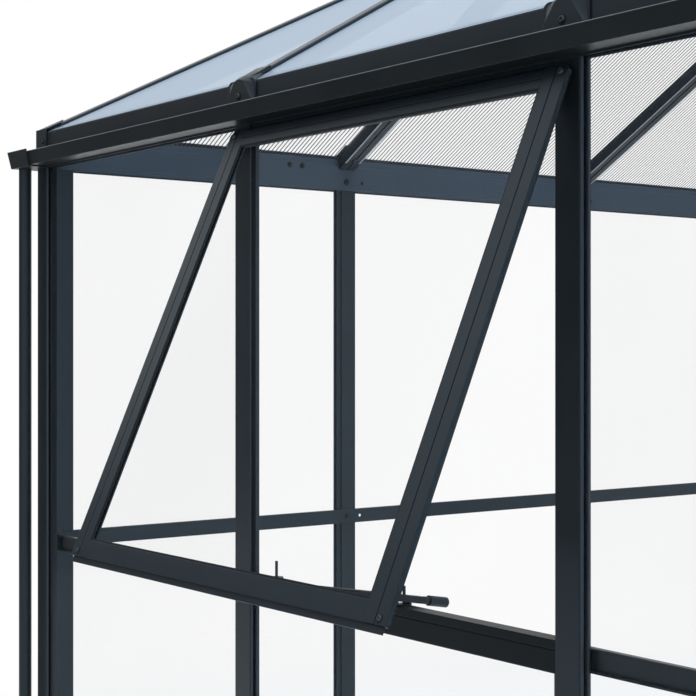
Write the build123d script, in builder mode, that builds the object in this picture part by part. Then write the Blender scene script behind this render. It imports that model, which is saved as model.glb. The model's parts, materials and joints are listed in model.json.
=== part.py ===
from build123d import *
import os
from collections import namedtuple
from math import atan2, cos, degrees, radians, sin, sqrt, tan

# A walk-in greenhouse with a hipped roof. The window wall looks towards -Y and the doors open on +X.
# On each wall, u runs along the wall, q inwards from its outer face and z up from the ground, in mm.

# Plan
BAY = 740.0
END_BAY_COUNT = 3
SIDE_BAY_COUNT = 4
POST_INSET = 17.0

# Wall extrusions
COVER_W = 42.0
POST_W = 53.0
POST_D = 17.0
FLANGE_T = 3.0
WEB_W = 12.0
BAND_W = 28.0
BAND_T = 2.5
WALL_T = 2.0
CORNER_COVER = 38.0
CORNER_LEG = 70.0

# Wall panes
PANE_T = 4.0
PANE_FIT = 0.25
PANE_BITE = 12.0
PANE_GAP = 2.0

# Heights of the wall
BASE_H = 60.0
BEAM_BOTTOM = 1781.0
BEAM_H = 69.0
BEAM_LIP_H = 10.0
BEAM_LIP_T = 2.0
BEAM_STEP_H = 14.0
BEAM_STEP_D = 1.5
EAVE_LIP_T = 2.0
SEAT_DROP = 8.0
RAIL_TOP = 1055.0
RAIL_H = 31.0
RAIL_T = 2.0
RAIL_D = 7.0
RAIL_HOLE_R = 3.5
RAIL_HOLE_STEP = 37.0

# Ground anchors
ANCHOR_W = 50.0
ANCHOR_T = 4.0
ANCHOR_LEG = 56.0
ANCHOR_H = 45.0
ANCHOR_HOLE_R = 5.5
ANCHOR_HOLE_Q = 30.0
ANCHOR_INSET = 150.0

# Roof
PITCH = 30.0
SHEET_T = 6.0
SHEET_GAP = 1.0
RAFTER_W = 44.0
RAFTER_D = 20.0
RAFTER_GROOVE_W = 5.0
RAFTER_GROOVE_D = 2.0
RIB_W = 8.0
HIP_W = 36.0
HIP_D = 36.0
RIDGE_W = 40.0
RIDGE_D = 44.0
STRIP_W = 32.0
STRIP_T = 6.0
STRIP_BEVEL_W = 3.0
STRIP_BEVEL_H = 1.5
HIP_STRIP_W = 44.0
RIDGE_STRIP_W = 60.0
TRIM_T = 1.5
TRIM_LEG = 14.0
TRIM_GAP = 0.5

# Caps at the eaves
CAP_FOOT = 34.0
PLATE_W = 82.0
PLATE_T = 2.5
PLATE_RISE = 6.0
PLATE_ROUND = 12.0
HOOD_FRONT = 9.0
HOOD_TOP_W = 26.0
HOOD_SHOULDER = 3.0
HOOD_RISE = 12.0
HOOD_W = 56.0
HOOD_IN = 22.0
HOOD_ROOF = 4.0
SOCKET_WALL = 4.0
SOCKET_L = 48.0
SOCKET_ROOF = 2.5
SOCKET_FIT = 0.2
CORNER_CAP_LEG = 42.0
CORNER_CAP_T = 2.5
CORNER_CAP_RISE = 8.0
CORNER_SOCKET_L = 62.0

# Gutter and downpipe
GUTTER_DROP = 3.0
GUTTER_FLOOR = 37.0
GUTTER_LEAN = 5.0
GUTTER_H = 26.0
GUTTER_BACK_H = 28.0
GUTTER_T = 2.0
SLEEVE_FIT = 0.2
SLEEVE_T = 2.0
SLEEVE_LAP = 40.0
SLEEVE_RISE = 5.0
SPIGOT_L = 18.0
SPIGOT_WALL = 1.5
PIPE_R = 12.5
PIPE_WALL = 1.5
PIPE_FIT = 0.3
PIPE_BOTTOM = 80.0
CLIP_Z = 400.0
CLIP_H = 16.0
CLIP_T = 3.0
CLIP_FIT = 0.1
CLIP_LEG = 24.0
CLIP_PLATE = 2.0
CLIP_NECK = 7.0

# Window: sill, head and sash
SILL_TOP = 1058.0
SILL_H = 41.0
SILL_D = 24.0
SILL_FIT = 0.5
SILL_GROOVE_W = 2.0
SILL_GROOVE_D = 1.0
HEAD_H = 29.0
HEAD_Q = 2.0
HINGE_OUT = 6.0
HINGE_DROP = 13.5
BEAD_R = 3.0
BEAD_FIT = 0.3
BEAD_ARM_T = 2.4
BEAD_END_GAP = 5.0
HOOK_T = 2.7
HOOK_SLACK = 9.0
WINDOW_OPEN = 23.5
SASH_SIDE_LAP = 15.5
SASH_SILL_LAP = 8.5
SASH_T = 10.0
STILE_W = 42.0
STILE_TOP = 4.0
STILE_CUT = 8.0
STILE_STEP_W = 3.0
STILE_STEP_T = 4.0
GROOVE_W = 2.0
GROOVE_D = 1.2
TOP_RAIL_H = 32.0
TOP_RAIL_NECK = 1.5
TOP_GROOVE_DROP = 19.0
BOTTOM_RAIL_H = 27.0
LIP_H = 9.5
LIP_T = 2.5
LIP_SET = 2.5
LIP_END = 5.0
SASH_BITE = 10.0
SASH_PANE_OUT = 3.0

# Stay and pegs
STAY_U = 24.6
PEG_PITCH = 324.0
PEG_Q = 18.0
PEG_R = 2.3
PEG_H = 27.0
PEG_FLANGE_R = 11.0
PEG_FLANGE_T = 2.0
STAY_PIVOT_IN = 10.0
STAY_PIVOT_UP = 16.0
STAY_W = 16.0
STAY_H = 10.0
STAY_WALL = 2.0
STAY_REST_GAP = 0.3
STAY_SLOT_W = 7.0
STAY_SLOT_START = 8.0
STAY_TAIL = 35.0
PIVOT_R = 2.5
PIVOT_FIT = 0.05
EAR_T = 2.0
EAR_FIT = 0.4
EAR_R = 6.0
PAD_T = 1.5
PAD_H = 26.0
GRIP_L = 46.0
GRIP_R = 7.5
GRIP_BEVEL = 2.5
COLLAR_L = 10.0
COLLAR_R = 5.5

# Doors
LEAF_D = 20.0
LEAF_SIDE_GAP = 4.0
LEAF_MEET_GAP = 4.0
LEAF_FLOOR_GAP = 8.0
LEAF_HEAD_GAP = 6.0
LEAF_STILE_W = 45.0
LEAF_TOP_H = 45.0
LEAF_BOTTOM_H = 90.0
LEAF_BITE = 10.0
LEAF_WALL = 2.5
THRESHOLD_H = 25.0
THRESHOLD_D = 46.0
HINGE_Z = (250.0, 950.0, 1600.0)
KNUCKLE_R = 6.0
KNUCKLE_L = 30.0
KNUCKLE_GAP = 0.3
KNUCKLE_OUT = 7.0
PIN_R = 3.0
PIN_FIT = 0.05
HINGE_PLATE_W = 26.0
HINGE_PLATE_T = 2.5
HANDLE_Z = 980.0
SPINDLE_R = 4.0
SPINDLE_FIT = 0.05
ROSE_R = 19.0
ROSE_T = 3.0
LEVER_OUT = 42.0
LEVER_L = 115.0
LEVER_R = 9.0
LEVER_HEAD = 12.0
NECK_R = 6.5
FINGER_GAP = 1.0
FINGER_T = 5.0
FINGER_W = 16.0
FINGER_L = 46.0
BOLT_R = 5.0
BOLT_FIT = 0.05
BOLT_Q = 10.0
BOLT_BOTTOM = 40.0
BOLT_L = 240.0
BOLT_KNOB_R = 8.0
BOLT_KNOB_L = 20.0
GUIDE_W = 22.0
GUIDE_H = 18.0
GUIDE_Z = (80.0, 220.0)
BOLT_HOLE_FIT = 0.6

# Sizes that follow from these
SLOT = PANE_T + 2 * PANE_FIT
BOX_Q = FLANGE_T + SLOT
HALF_X = END_BAY_COUNT * BAY / 2 + POST_INSET
HALF_Y = SIDE_BAY_COUNT * BAY / 2 + POST_INSET
EAVE_TOP = BEAM_BOTTOM + BEAM_H
SEAT_Z = EAVE_TOP - SEAT_DROP
SHEET_Q = EAVE_LIP_T + SHEET_GAP + SHEET_T * sin(radians(PITCH))
COVER_STEP = (POST_W - COVER_W) / 2
RISE = tan(radians(PITCH))
RUN = cos(radians(PITCH))
RIDGE_Z = SEAT_Z + HALF_X * RISE
HIP_FALL = RISE / sqrt(2 + RISE**2)
GUTTER_Z = BEAM_BOTTOM + GUTTER_DROP
GUTTER_OUT = GUTTER_FLOOR + GUTTER_LEAN
SILL_BOTTOM = SILL_TOP - SILL_H
HINGE_LINE = BEAM_BOTTOM - HINGE_DROP
HOOK_R = BEAD_R + BEAD_FIT + HOOK_T
SASH_W = BAY + 2 * SASH_SIDE_LAP
SASH_L = HINGE_LINE + HOOK_R - SILL_TOP + SASH_SILL_LAP
POST_L = BEAM_BOTTOM - BASE_H
EDGE = (Align.MIN, Align.MIN)
MIDDLE_LOW = (Align.CENTER, Align.MIN)
UP = Vector(0, 0, 1)

Wall = namedtuple("Wall", "name along out half reach bays")
FRONT = Wall("front", Vector(1, 0, 0), Vector(0, -1, 0), HALF_X, HALF_Y, END_BAY_COUNT)
RIGHT = Wall("right", Vector(0, 1, 0), Vector(1, 0, 0), HALF_Y, HALF_X, SIDE_BAY_COUNT)
BACK = Wall("back", Vector(-1, 0, 0), Vector(0, 1, 0), HALF_X, HALF_Y, END_BAY_COUNT)
LEFT = Wall("left", Vector(0, -1, 0), Vector(-1, 0, 0), HALF_Y, HALF_X, SIDE_BAY_COUNT)
WALLS = (FRONT, RIGHT, BACK, LEFT)
CORNERS = ((-1, -1), (1, -1), (1, 1), (-1, 1))
DOOR_LINES = (1, SIDE_BAY_COUNT - 1)
WINDOW_BAY = END_BAY_COUNT // 2


def post_line(wall, k):
    """Place along the wall of post line k, counted from the wall's left end."""
    return -wall.half + POST_INSET + k * BAY


def at(wall, u, q, z):
    return wall.along * u + wall.out * (wall.reach - q) + UP * z


def plan_plane(wall, u, z):
    """Level plane: x along the wall, y inwards."""
    return Plane(origin=at(wall, u, 0, z), x_dir=wall.along, z_dir=UP)


def section_plane(wall, u):
    """Upright cut across the wall: x inwards, y up, extruding along the wall."""
    return Plane(origin=at(wall, u, 0, 0), x_dir=-wall.out, z_dir=wall.along)


def face_plane(wall, q):
    """Upright plane in the wall: x along it, y up, extruding outwards."""
    return Plane(origin=at(wall, 0, q, 0), x_dir=wall.along, z_dir=wall.out)


def slope_plane(wall):
    """Underside of the roof sheets over a wall: x along it, y up the slope."""
    normal = wall.out * sin(radians(PITCH)) + UP * RUN
    return Plane(origin=at(wall, 0, 0, SEAT_Z), x_dir=wall.along, z_dir=normal)


def slope_end_plane(wall, u, start):
    """Square end of a bar lying on the slope: y away from the sheets, extruding up the slope."""
    climb = UP * sin(radians(PITCH)) - wall.out * RUN
    return Plane(origin=at(wall, u, 0, SEAT_Z) + climb * start, x_dir=-wall.along, z_dir=climb)


def mitre_plane(wall, side, back_off=0.0):
    """Upright plane through a corner at 45 degrees, facing away from the wall's middle."""
    normal = (wall.along * side - wall.out).normalized()
    return Plane(origin=at(wall, side * wall.half, 0, 0) - normal * back_off, z_dir=normal)


def cut_mitres(wall):
    for side in (-1, 1):
        split(bisect_by=mitre_plane(wall, side), keep=Keep.BOTTOM)


def corner_plane(sx, sy, z):
    """Level plane at an outer corner, with both axes pointing inwards along the walls."""
    inward = Vector(-sx, 0, 0) if sx == sy else Vector(0, -sy, 0)
    return Plane(origin=(sx * HALF_X, sy * HALF_Y, z), x_dir=inward, z_dir=UP)


def wall_label(wall, name):
    return f"{name}_{wall.name}"


pieces = []


def keep(shape, name):
    shape.label = name
    pieces.append(shape)


# Base: rails with a slot for the panes, mitred at the corners and broken at the doorway

def base_rail(wall, start, end, sides):
    with BuildPart() as rail:
        with BuildSketch(section_plane(wall, start)):
            Rectangle(POST_D, BASE_H, align=EDGE)
            with Locations((FLANGE_T, BASE_H - PANE_BITE)):
                Rectangle(SLOT, PANE_BITE, align=EDGE, mode=Mode.SUBTRACT)
            with Locations((WALL_T, WALL_T)):
                hollow = BASE_H - PANE_BITE - 2 * WALL_T
                Rectangle(POST_D - 2 * WALL_T, hollow, align=EDGE, mode=Mode.SUBTRACT)
        extrude(amount=end - start)
        for side in sides:
            split(bisect_by=mitre_plane(wall, side), keep=Keep.BOTTOM)
    return rail.part


door_edge = -post_line(RIGHT, DOOR_LINES[0]) - POST_W / 2
sill_half = (BAY - COVER_W) / 2 - SILL_FIT
base_parts = [base_rail(wall, -wall.half, wall.half, (-1, 1)) for wall in (FRONT, BACK, LEFT)]
base_parts.append(base_rail(RIGHT, -RIGHT.half, -door_edge, (-1,)))
base_parts.append(base_rail(RIGHT, door_edge, RIGHT.half, (1,)))
keep(Compound([part.solid() for part in base_parts]), "base_rails")

bolt_u = -LEAF_MEET_GAP / 2 - LEAF_STILE_W / 2
bolt_q = LEAF_D + BOLT_Q
with BuildPart() as threshold:
    with BuildSketch(section_plane(RIGHT, -door_edge)):
        Rectangle(THRESHOLD_D, THRESHOLD_H, align=EDGE)
        with Locations((WALL_T, WALL_T)):
            inner_h = THRESHOLD_H - 2 * WALL_T
            Rectangle(POST_D - 2 * WALL_T, inner_h, align=EDGE, mode=Mode.SUBTRACT)
    extrude(amount=2 * door_edge)
    with BuildSketch(plan_plane(RIGHT, bolt_u, 0)):
        with Locations((0, bolt_q)):
            Circle(BOLT_R + BOLT_HOLE_FIT)
    extrude(amount=THRESHOLD_H, mode=Mode.SUBTRACT)
keep(threshold.part, "door_threshold")

with BuildPart() as anchors:
    for wall in (FRONT, BACK):
        for side in (-1, 1):
            spot = side * (wall.half - ANCHOR_INSET)
            with BuildSketch(section_plane(wall, spot - ANCHOR_W / 2)):
                with Locations((POST_D, 0)):
                    Rectangle(ANCHOR_LEG, ANCHOR_T, align=EDGE)
                    Rectangle(ANCHOR_T, ANCHOR_H, align=EDGE)
            extrude(amount=ANCHOR_W)
            with BuildSketch(plan_plane(wall, spot, 0)):
                with Locations((0, POST_D + ANCHOR_HOLE_Q)):
                    Circle(ANCHOR_HOLE_R)
            extrude(amount=ANCHOR_T, mode=Mode.SUBTRACT)
keep(anchors.part, "anchor_brackets")


# Posts: a cover flange, a web with pane slots on both sides and a wider hollow box with a raised band

def draw_post():
    box_d = POST_D - BAND_T - BOX_Q
    with Locations((0, FLANGE_T / 2)):
        Rectangle(COVER_W, FLANGE_T)
    with Locations((0, FLANGE_T + SLOT / 2)):
        Rectangle(WEB_W, SLOT)
    with Locations((0, POST_D - BAND_T / 2)):
        Rectangle(BAND_W, BAND_T)
    with Locations((0, BOX_Q + box_d / 2)):
        Rectangle(POST_W, box_d)
        Rectangle(POST_W - 2 * WALL_T, box_d - 2 * WALL_T, mode=Mode.SUBTRACT)


def draw_corner_post():
    core = POST_INSET + WEB_W / 2
    leg = CORNER_LEG - BOX_Q
    box_d = POST_D - BOX_Q
    Rectangle(core, BOX_Q, align=EDGE)
    Rectangle(BOX_Q, core, align=EDGE)
    Rectangle(CORNER_COVER, FLANGE_T, align=EDGE)
    Rectangle(FLANGE_T, CORNER_COVER, align=EDGE)
    with Locations((BOX_Q, BOX_Q)):
        Rectangle(leg, box_d, align=EDGE)
        Rectangle(box_d, leg, align=EDGE)
    with Locations((BOX_Q + WALL_T, BOX_Q + WALL_T)):
        Rectangle(leg - 2 * WALL_T, box_d - 2 * WALL_T, align=EDGE, mode=Mode.SUBTRACT)
        Rectangle(box_d - 2 * WALL_T, leg - 2 * WALL_T, align=EDGE, mode=Mode.SUBTRACT)


with BuildPart() as corner_posts:
    for sx, sy in CORNERS:
        with BuildSketch(corner_plane(sx, sy, BASE_H)):
            draw_corner_post()
        extrude(amount=POST_L)
keep(corner_posts.part, "corner_posts")

with BuildPart() as wall_posts:
    for wall in WALLS:
        for k in range(1, wall.bays):
            if wall is RIGHT and DOOR_LINES[0] < k < DOOR_LINES[1]:
                continue
            with BuildSketch(plan_plane(wall, post_line(wall, k), BASE_H)):
                draw_post()
            extrude(amount=POST_L)
keep(wall_posts.part, "wall_posts")


# Eave beams: hollow, with a sloped seat for the roof sheets behind a lip, and a pane slot below

def eave_beam(wall):
    step_q = POST_D - BEAM_STEP_D
    inner_top = SEAT_Z + step_q * RISE
    lip_top = BEAM_BOTTOM + BEAM_LIP_H
    hollow_z = BEAM_BOTTOM + PANE_BITE + WALL_T
    with BuildPart() as beam:
        with BuildSketch(section_plane(wall, -wall.half)):
            with BuildLine():
                Polyline(
                    (0, BEAM_BOTTOM),
                    (POST_D + BEAM_LIP_T, BEAM_BOTTOM),
                    (POST_D + BEAM_LIP_T, lip_top),
                    (POST_D, lip_top),
                    (POST_D, inner_top - BEAM_STEP_H),
                    (step_q, inner_top - BEAM_STEP_H),
                    (step_q, inner_top),
                    (EAVE_LIP_T, SEAT_Z + EAVE_LIP_T * RISE),
                    (EAVE_LIP_T, EAVE_TOP),
                    (0, EAVE_TOP),
                    close=True,
                )
            make_face()
            with Locations((FLANGE_T, BEAM_BOTTOM)):
                Rectangle(SLOT, PANE_BITE, align=EDGE, mode=Mode.SUBTRACT)
            with Locations((WALL_T, hollow_z)):
                hollow_w = step_q - 2 * WALL_T
                Rectangle(hollow_w, SEAT_Z - WALL_T - hollow_z, align=EDGE, mode=Mode.SUBTRACT)
        extrude(amount=2 * wall.half)
        cut_mitres(wall)
    return beam.part


for wall in WALLS:
    keep(eave_beam(wall), wall_label(wall, "eave_beam"))


# Mid rails: a strip across the inner faces of the posts, with channel flanges between them and a hole
# beside each post; they stop at the doorway and at the window

def mid_rail(wall):
    low = RAIL_TOP - RAIL_H
    with BuildPart() as rail:
        with BuildSketch(section_plane(wall, -wall.half)):
            with Locations((POST_D, low)):
                Rectangle(RAIL_T, RAIL_H, align=EDGE)
        extrude(amount=2 * wall.half)
        cut_mitres(wall)
        if wall in (FRONT, RIGHT):
            with BuildSketch(face_plane(wall, POST_D)):
                with Locations((0, low)):
                    Rectangle(2 * (door_edge if wall is RIGHT else sill_half), RAIL_H, align=MIDDLE_LOW)
            extrude(amount=-RAIL_T, mode=Mode.SUBTRACT)
        for k in range(wall.bays):
            if wall is FRONT and k == WINDOW_BAY:
                continue
            if wall is RIGHT and DOOR_LINES[0] <= k < DOOR_LINES[1]:
                continue
            start = -wall.half + CORNER_LEG if k == 0 else post_line(wall, k) + POST_W / 2
            end = wall.half - CORNER_LEG if k == wall.bays - 1 else post_line(wall, k + 1) - POST_W / 2
            with BuildSketch(section_plane(wall, start)):
                for z in (low, RAIL_TOP - RAIL_T):
                    with Locations((POST_D - RAIL_D, z)):
                        Rectangle(RAIL_D, RAIL_T, align=EDGE)
            extrude(amount=end - start)
            if k < wall.bays - 1:
                with BuildSketch(face_plane(wall, POST_D)):
                    with Locations((post_line(wall, k + 1) - RAIL_HOLE_STEP, low + RAIL_H / 2)):
                        Circle(RAIL_HOLE_R)
                extrude(amount=-RAIL_T, mode=Mode.SUBTRACT)
    return rail.part


for wall in WALLS:
    keep(mid_rail(wall), wall_label(wall, "mid_rail"))


# Wall panes, held in the slots of posts, base and beam; the window bay has a low one under the sill

def wall_panes(wall):
    width = BAY - WEB_W - 2 * PANE_GAP
    low = BASE_H - PANE_BITE
    with BuildPart() as panes:
        for k in range(wall.bays):
            if wall is RIGHT and DOOR_LINES[0] <= k < DOOR_LINES[1]:
                continue
            head = SILL_BOTTOM if wall is FRONT and k == WINDOW_BAY else BEAM_BOTTOM
            top = head + PANE_BITE - PANE_GAP
            with BuildSketch(face_plane(wall, FLANGE_T + PANE_FIT)):
                with Locations((post_line(wall, k) + BAY / 2, low)):
                    Rectangle(width, top - low, align=MIDDLE_LOW)
            extrude(amount=-PANE_T)
    return panes.part


for wall in WALLS:
    keep(wall_panes(wall), wall_label(wall, "panes"))

# Window sill between the posts, with a slot for the pane below and a fine line along its face
window_u = post_line(FRONT, WINDOW_BAY) + BAY / 2


def notch_ends(low, height):
    """Cuts the ends of a bar in the window bay to fit between the boxes of the posts."""
    for side in (-1, 1):
        with Locations(at(FRONT, window_u + side * sill_half, BOX_Q - SILL_FIT, low)):
            Box(2 * COVER_STEP, SILL_D, height, align=(*MIDDLE_LOW, Align.MIN), mode=Mode.SUBTRACT)


with BuildPart() as sill:
    with BuildSketch(section_plane(FRONT, window_u - sill_half)):
        with Locations((0, SILL_BOTTOM)):
            Rectangle(SILL_D, SILL_H, align=EDGE)
        with Locations((FLANGE_T, SILL_BOTTOM)):
            Rectangle(SLOT, PANE_BITE, align=EDGE, mode=Mode.SUBTRACT)
        with Locations((0, SILL_TOP - SILL_H / 3)):
            Rectangle(SILL_GROOVE_D, SILL_GROOVE_W, align=EDGE, mode=Mode.SUBTRACT)
        with Locations((2 * WALL_T, SILL_BOTTOM + PANE_BITE + WALL_T)):
            inner_h = SILL_H - PANE_BITE - 2 * WALL_T
            Rectangle(SILL_D - 3 * WALL_T, inner_h, align=EDGE, mode=Mode.SUBTRACT)
    extrude(amount=2 * sill_half)
    notch_ends(SILL_BOTTOM, SILL_H)
keep(sill.part, "window_sill")

# Window head under the beam, with the bead on which the sash hangs
hinge_point = at(FRONT, window_u, -HINGE_OUT, HINGE_LINE)
rail_half = SASH_W / 2 - STILE_W
bead_half = rail_half - BEAD_END_GAP
with BuildPart() as head:
    with BuildSketch(section_plane(FRONT, window_u - sill_half)):
        with Locations((HEAD_Q, BEAM_BOTTOM - HEAD_H)):
            Rectangle(POST_D - HEAD_Q, HEAD_H, align=EDGE)
        with Locations((HEAD_Q + WALL_T, BEAM_BOTTOM - HEAD_H + WALL_T)):
            head_hollow = POST_D - HEAD_Q - 2 * WALL_T
            Rectangle(head_hollow, HEAD_H - 2 * WALL_T, align=EDGE, mode=Mode.SUBTRACT)
    extrude(amount=2 * sill_half)
    notch_ends(BEAM_BOTTOM - HEAD_H, HEAD_H)
    with BuildSketch(section_plane(FRONT, window_u - bead_half)):
        with Locations((-HINGE_OUT, HINGE_LINE)):
            Circle(BEAD_R)
            Rectangle(HINGE_OUT + HEAD_Q, BEAD_ARM_T, align=(Align.MIN, Align.CENTER))
    extrude(amount=2 * bead_half)
keep(head.part, "window_head")

# Two pegs on the sill: one holds the open stay, the other keeps it when the window is shut
with BuildPart() as pegs:
    for u in (STAY_U, STAY_U - PEG_PITCH):
        with BuildSketch(plan_plane(FRONT, window_u + u, SILL_TOP)):
            with Locations((0, PEG_Q)):
                Circle(PEG_FLANGE_R)
        extrude(amount=PEG_FLANGE_T)
        with BuildSketch(plan_plane(FRONT, window_u + u, SILL_TOP)):
            with Locations((0, PEG_Q)):
                Circle(PEG_R)
        extrude(amount=PEG_H)
keep(pegs.part, "stay_pegs")

# Sash frame of reference: hung from the bead and standing open by WINDOW_OPEN
open_angle = radians(WINDOW_OPEN)
sash_out = FRONT.out * cos(open_angle) + UP * sin(open_angle)
sash_up = UP * cos(open_angle) - FRONT.out * sin(open_angle)
sash_front = HOOK_R
sash_back = SASH_T - sash_front
sash_low = HOOK_R - SASH_L
slot_in = -SASH_PANE_OUT - PANE_FIT


def sash_section(u):
    """Cut across the sash: x inwards from the hinge line, y up the sash, extruding along it."""
    return Plane(origin=hinge_point + FRONT.along * u, x_dir=-sash_out, z_dir=FRONT.along)


def sash_plan(u, up):
    """Cut square to the stiles: x along the wall, y inwards, extruding up the sash."""
    return Plane(origin=hinge_point + FRONT.along * u + sash_up * up, x_dir=FRONT.along, z_dir=sash_up)


def sash_face(outward):
    """Plane in the sash: x along the wall, y up the sash, extruding outwards."""
    return Plane(origin=hinge_point + sash_out * outward, x_dir=FRONT.along, z_dir=sash_out)


def sash_stile(side):
    """Stile with a face groove, a stepped outer edge, a pane slot and a clipped top corner."""
    edge = side * SASH_W / 2
    with BuildPart() as stile:
        with BuildSketch(sash_plan(edge - side * STILE_W / 2, sash_low)):
            with Locations((0, -sash_front)):
                Rectangle(STILE_W, SASH_T, align=MIDDLE_LOW)
            with Locations((0, -sash_front)):
                Rectangle(GROOVE_W, GROOVE_D, align=MIDDLE_LOW, mode=Mode.SUBTRACT)
            with Locations((side * (STILE_W - STILE_STEP_W) / 2, sash_back - STILE_STEP_T / 2)):
                Rectangle(STILE_STEP_W, STILE_STEP_T, mode=Mode.SUBTRACT)
            with Locations((-side * (STILE_W - SASH_BITE) / 2, slot_in + SLOT / 2)):
                Rectangle(SASH_BITE, SLOT, mode=Mode.SUBTRACT)
        extrude(amount=STILE_TOP - sash_low)
        with BuildSketch(sash_face(sash_front)):
            with BuildLine():
                Polyline(
                    (edge, STILE_TOP),
                    (edge - side * STILE_CUT, STILE_TOP),
                    (edge, STILE_TOP - STILE_CUT),
                    close=True,
                )
            make_face()
        extrude(amount=-SASH_T, mode=Mode.SUBTRACT)
    return stile.part


keep(sash_stile(-1), "sash_stile_left")
keep(sash_stile(1), "sash_stile_right")

# Top rail: a hook round the bead, open on the inside for the bead's arm over the whole swing
arm_angle = degrees(atan2(BEAD_ARM_T / 2, BEAD_R))
mouth_low = radians(-arm_angle - HOOK_SLACK)
mouth_high = radians(WINDOW_OPEN + arm_angle + HOOK_SLACK)
mouth_reach = 4 * HOOK_R
neck_drop = HOOK_R + TOP_RAIL_NECK
top_rail_low = HOOK_R - TOP_RAIL_H
with BuildPart() as top_rail:
    with BuildSketch(sash_section(-rail_half)):
        Circle(HOOK_R)
        Circle(BEAD_R + BEAD_FIT, mode=Mode.SUBTRACT)
        with BuildLine():
            Polyline(
                (0, 0),
                (mouth_reach * cos(mouth_low), mouth_reach * sin(mouth_low)),
                (mouth_reach * cos(mouth_high), mouth_reach * sin(mouth_high)),
                close=True,
            )
        make_face(mode=Mode.SUBTRACT)
        with Locations((-sash_front, -neck_drop)):
            Rectangle(HOOK_T - BEAD_FIT, neck_drop, align=EDGE)
        with Locations((-sash_front, top_rail_low)):
            Rectangle(SASH_T, -neck_drop - top_rail_low, align=EDGE)
        with Locations((slot_in, top_rail_low)):
            Rectangle(SLOT, SASH_BITE, align=EDGE, mode=Mode.SUBTRACT)
        with Locations((-sash_front, HOOK_R - TOP_GROOVE_DROP)):
            Rectangle(GROOVE_D, GROOVE_W, align=EDGE, mode=Mode.SUBTRACT)
    extrude(amount=2 * rail_half)
keep(top_rail.part, "sash_top_rail")

# Bottom rail between the stiles, with a drip lip set back below it and running on under the stiles
with BuildPart() as bottom_rail:
    with BuildSketch(sash_section(-rail_half)):
        with Locations((-sash_front, sash_low)):
            Rectangle(SASH_T, BOTTOM_RAIL_H, align=EDGE)
        with Locations((slot_in, sash_low + BOTTOM_RAIL_H - SASH_BITE)):
            Rectangle(SLOT, SASH_BITE, align=EDGE, mode=Mode.SUBTRACT)
    extrude(amount=2 * rail_half)
    lip_half = SASH_W / 2 - LIP_END
    with BuildSketch(sash_section(-lip_half)):
        with Locations((LIP_SET - sash_front, sash_low - LIP_H)):
            Rectangle(LIP_T, LIP_H, align=EDGE)
    extrude(amount=2 * lip_half)
keep(bottom_rail.part, "sash_bottom_rail")

pane_low = sash_low + BOTTOM_RAIL_H - SASH_BITE
pane_high = top_rail_low + SASH_BITE - PANE_GAP
with BuildPart() as sash_pane:
    with BuildSketch(sash_face(SASH_PANE_OUT)):
        with Locations((0, pane_low)):
            pane_w = 2 * (rail_half + SASH_BITE - PANE_GAP)
            Rectangle(pane_w, pane_high - pane_low, align=MIDDLE_LOW)
    extrude(amount=-PANE_T)
keep(sash_pane.part, "sash_pane")

# Stay: a slotted channel hinged on the bottom rail and dropped over the peg on the sill
pivot_in = sash_back + STAY_PIVOT_IN
pivot_up = sash_low + STAY_PIVOT_UP
pivot = hinge_point + FRONT.along * STAY_U - sash_out * pivot_in + sash_up * pivot_up
peg_point = at(FRONT, window_u + STAY_U, PEG_Q, SILL_TOP + PEG_FLANGE_T)
steepest = (pivot.Z - peg_point.Z) / (peg_point.Y - pivot.Y)
seat_height = STAY_H / 2 + STAY_REST_GAP + PEG_FLANGE_R * steepest
stay_drop = pivot.Z - peg_point.Z - seat_height
stay_angle = -atan2(stay_drop, peg_point.Y - pivot.Y)
stay_reach = sqrt(stay_drop**2 + (peg_point.Y - pivot.Y) ** 2)
stay_dir = UP * sin(stay_angle) - FRONT.out * cos(stay_angle)
stay_end = stay_reach + STAY_TAIL
stay_side = Plane(origin=pivot, x_dir=stay_dir, z_dir=FRONT.along)
stay_top = Plane(origin=pivot, x_dir=stay_dir, z_dir=FRONT.along.cross(stay_dir))
ear_gap = STAY_W / 2 + EAR_FIT

with BuildPart() as bracket:
    with BuildSketch(sash_section(STAY_U - ear_gap - EAR_T)):
        with Locations((sash_back, pivot_up)):
            Rectangle(PAD_T, PAD_H, align=(Align.MIN, Align.CENTER))
    extrude(amount=2 * (ear_gap + EAR_T))
    for start in (STAY_U - ear_gap - EAR_T, STAY_U + ear_gap):
        with BuildSketch(sash_section(start)):
            with Locations((pivot_in, pivot_up)):
                Circle(EAR_R)
            with Locations((sash_back, pivot_up)):
                Rectangle(STAY_PIVOT_IN, 2 * EAR_R, align=(Align.MIN, Align.CENTER))
        extrude(amount=EAR_T)
    with BuildSketch(sash_section(STAY_U - ear_gap)):
        with Locations((pivot_in, pivot_up)):
            Circle(PIVOT_R)
    extrude(amount=2 * ear_gap)
keep(bracket.part, "stay_bracket")

with BuildPart() as stay_bar:
    with BuildSketch(stay_side):
        Circle(STAY_H / 2)
        Rectangle(stay_end, STAY_H, align=(Align.MIN, Align.CENTER))
    extrude(amount=STAY_W / 2, both=True)
    with BuildSketch(stay_side):
        with Locations((-STAY_H, -STAY_H / 2)):
            Rectangle(stay_end + 2 * STAY_H, STAY_H - STAY_WALL, align=EDGE)
    extrude(amount=STAY_W / 2 - STAY_WALL, both=True, mode=Mode.SUBTRACT)
    with BuildSketch(stay_side):
        Circle(PIVOT_R + PIVOT_FIT)
    extrude(amount=STAY_W, both=True, mode=Mode.SUBTRACT)
    with BuildSketch(stay_top):
        slot_end = stay_reach + STAY_SLOT_W / 2
        with Locations(((STAY_SLOT_START + slot_end) / 2, 0)):
            SlotOverall(slot_end - STAY_SLOT_START, STAY_SLOT_W)
    extrude(amount=STAY_H, mode=Mode.SUBTRACT)
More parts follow.
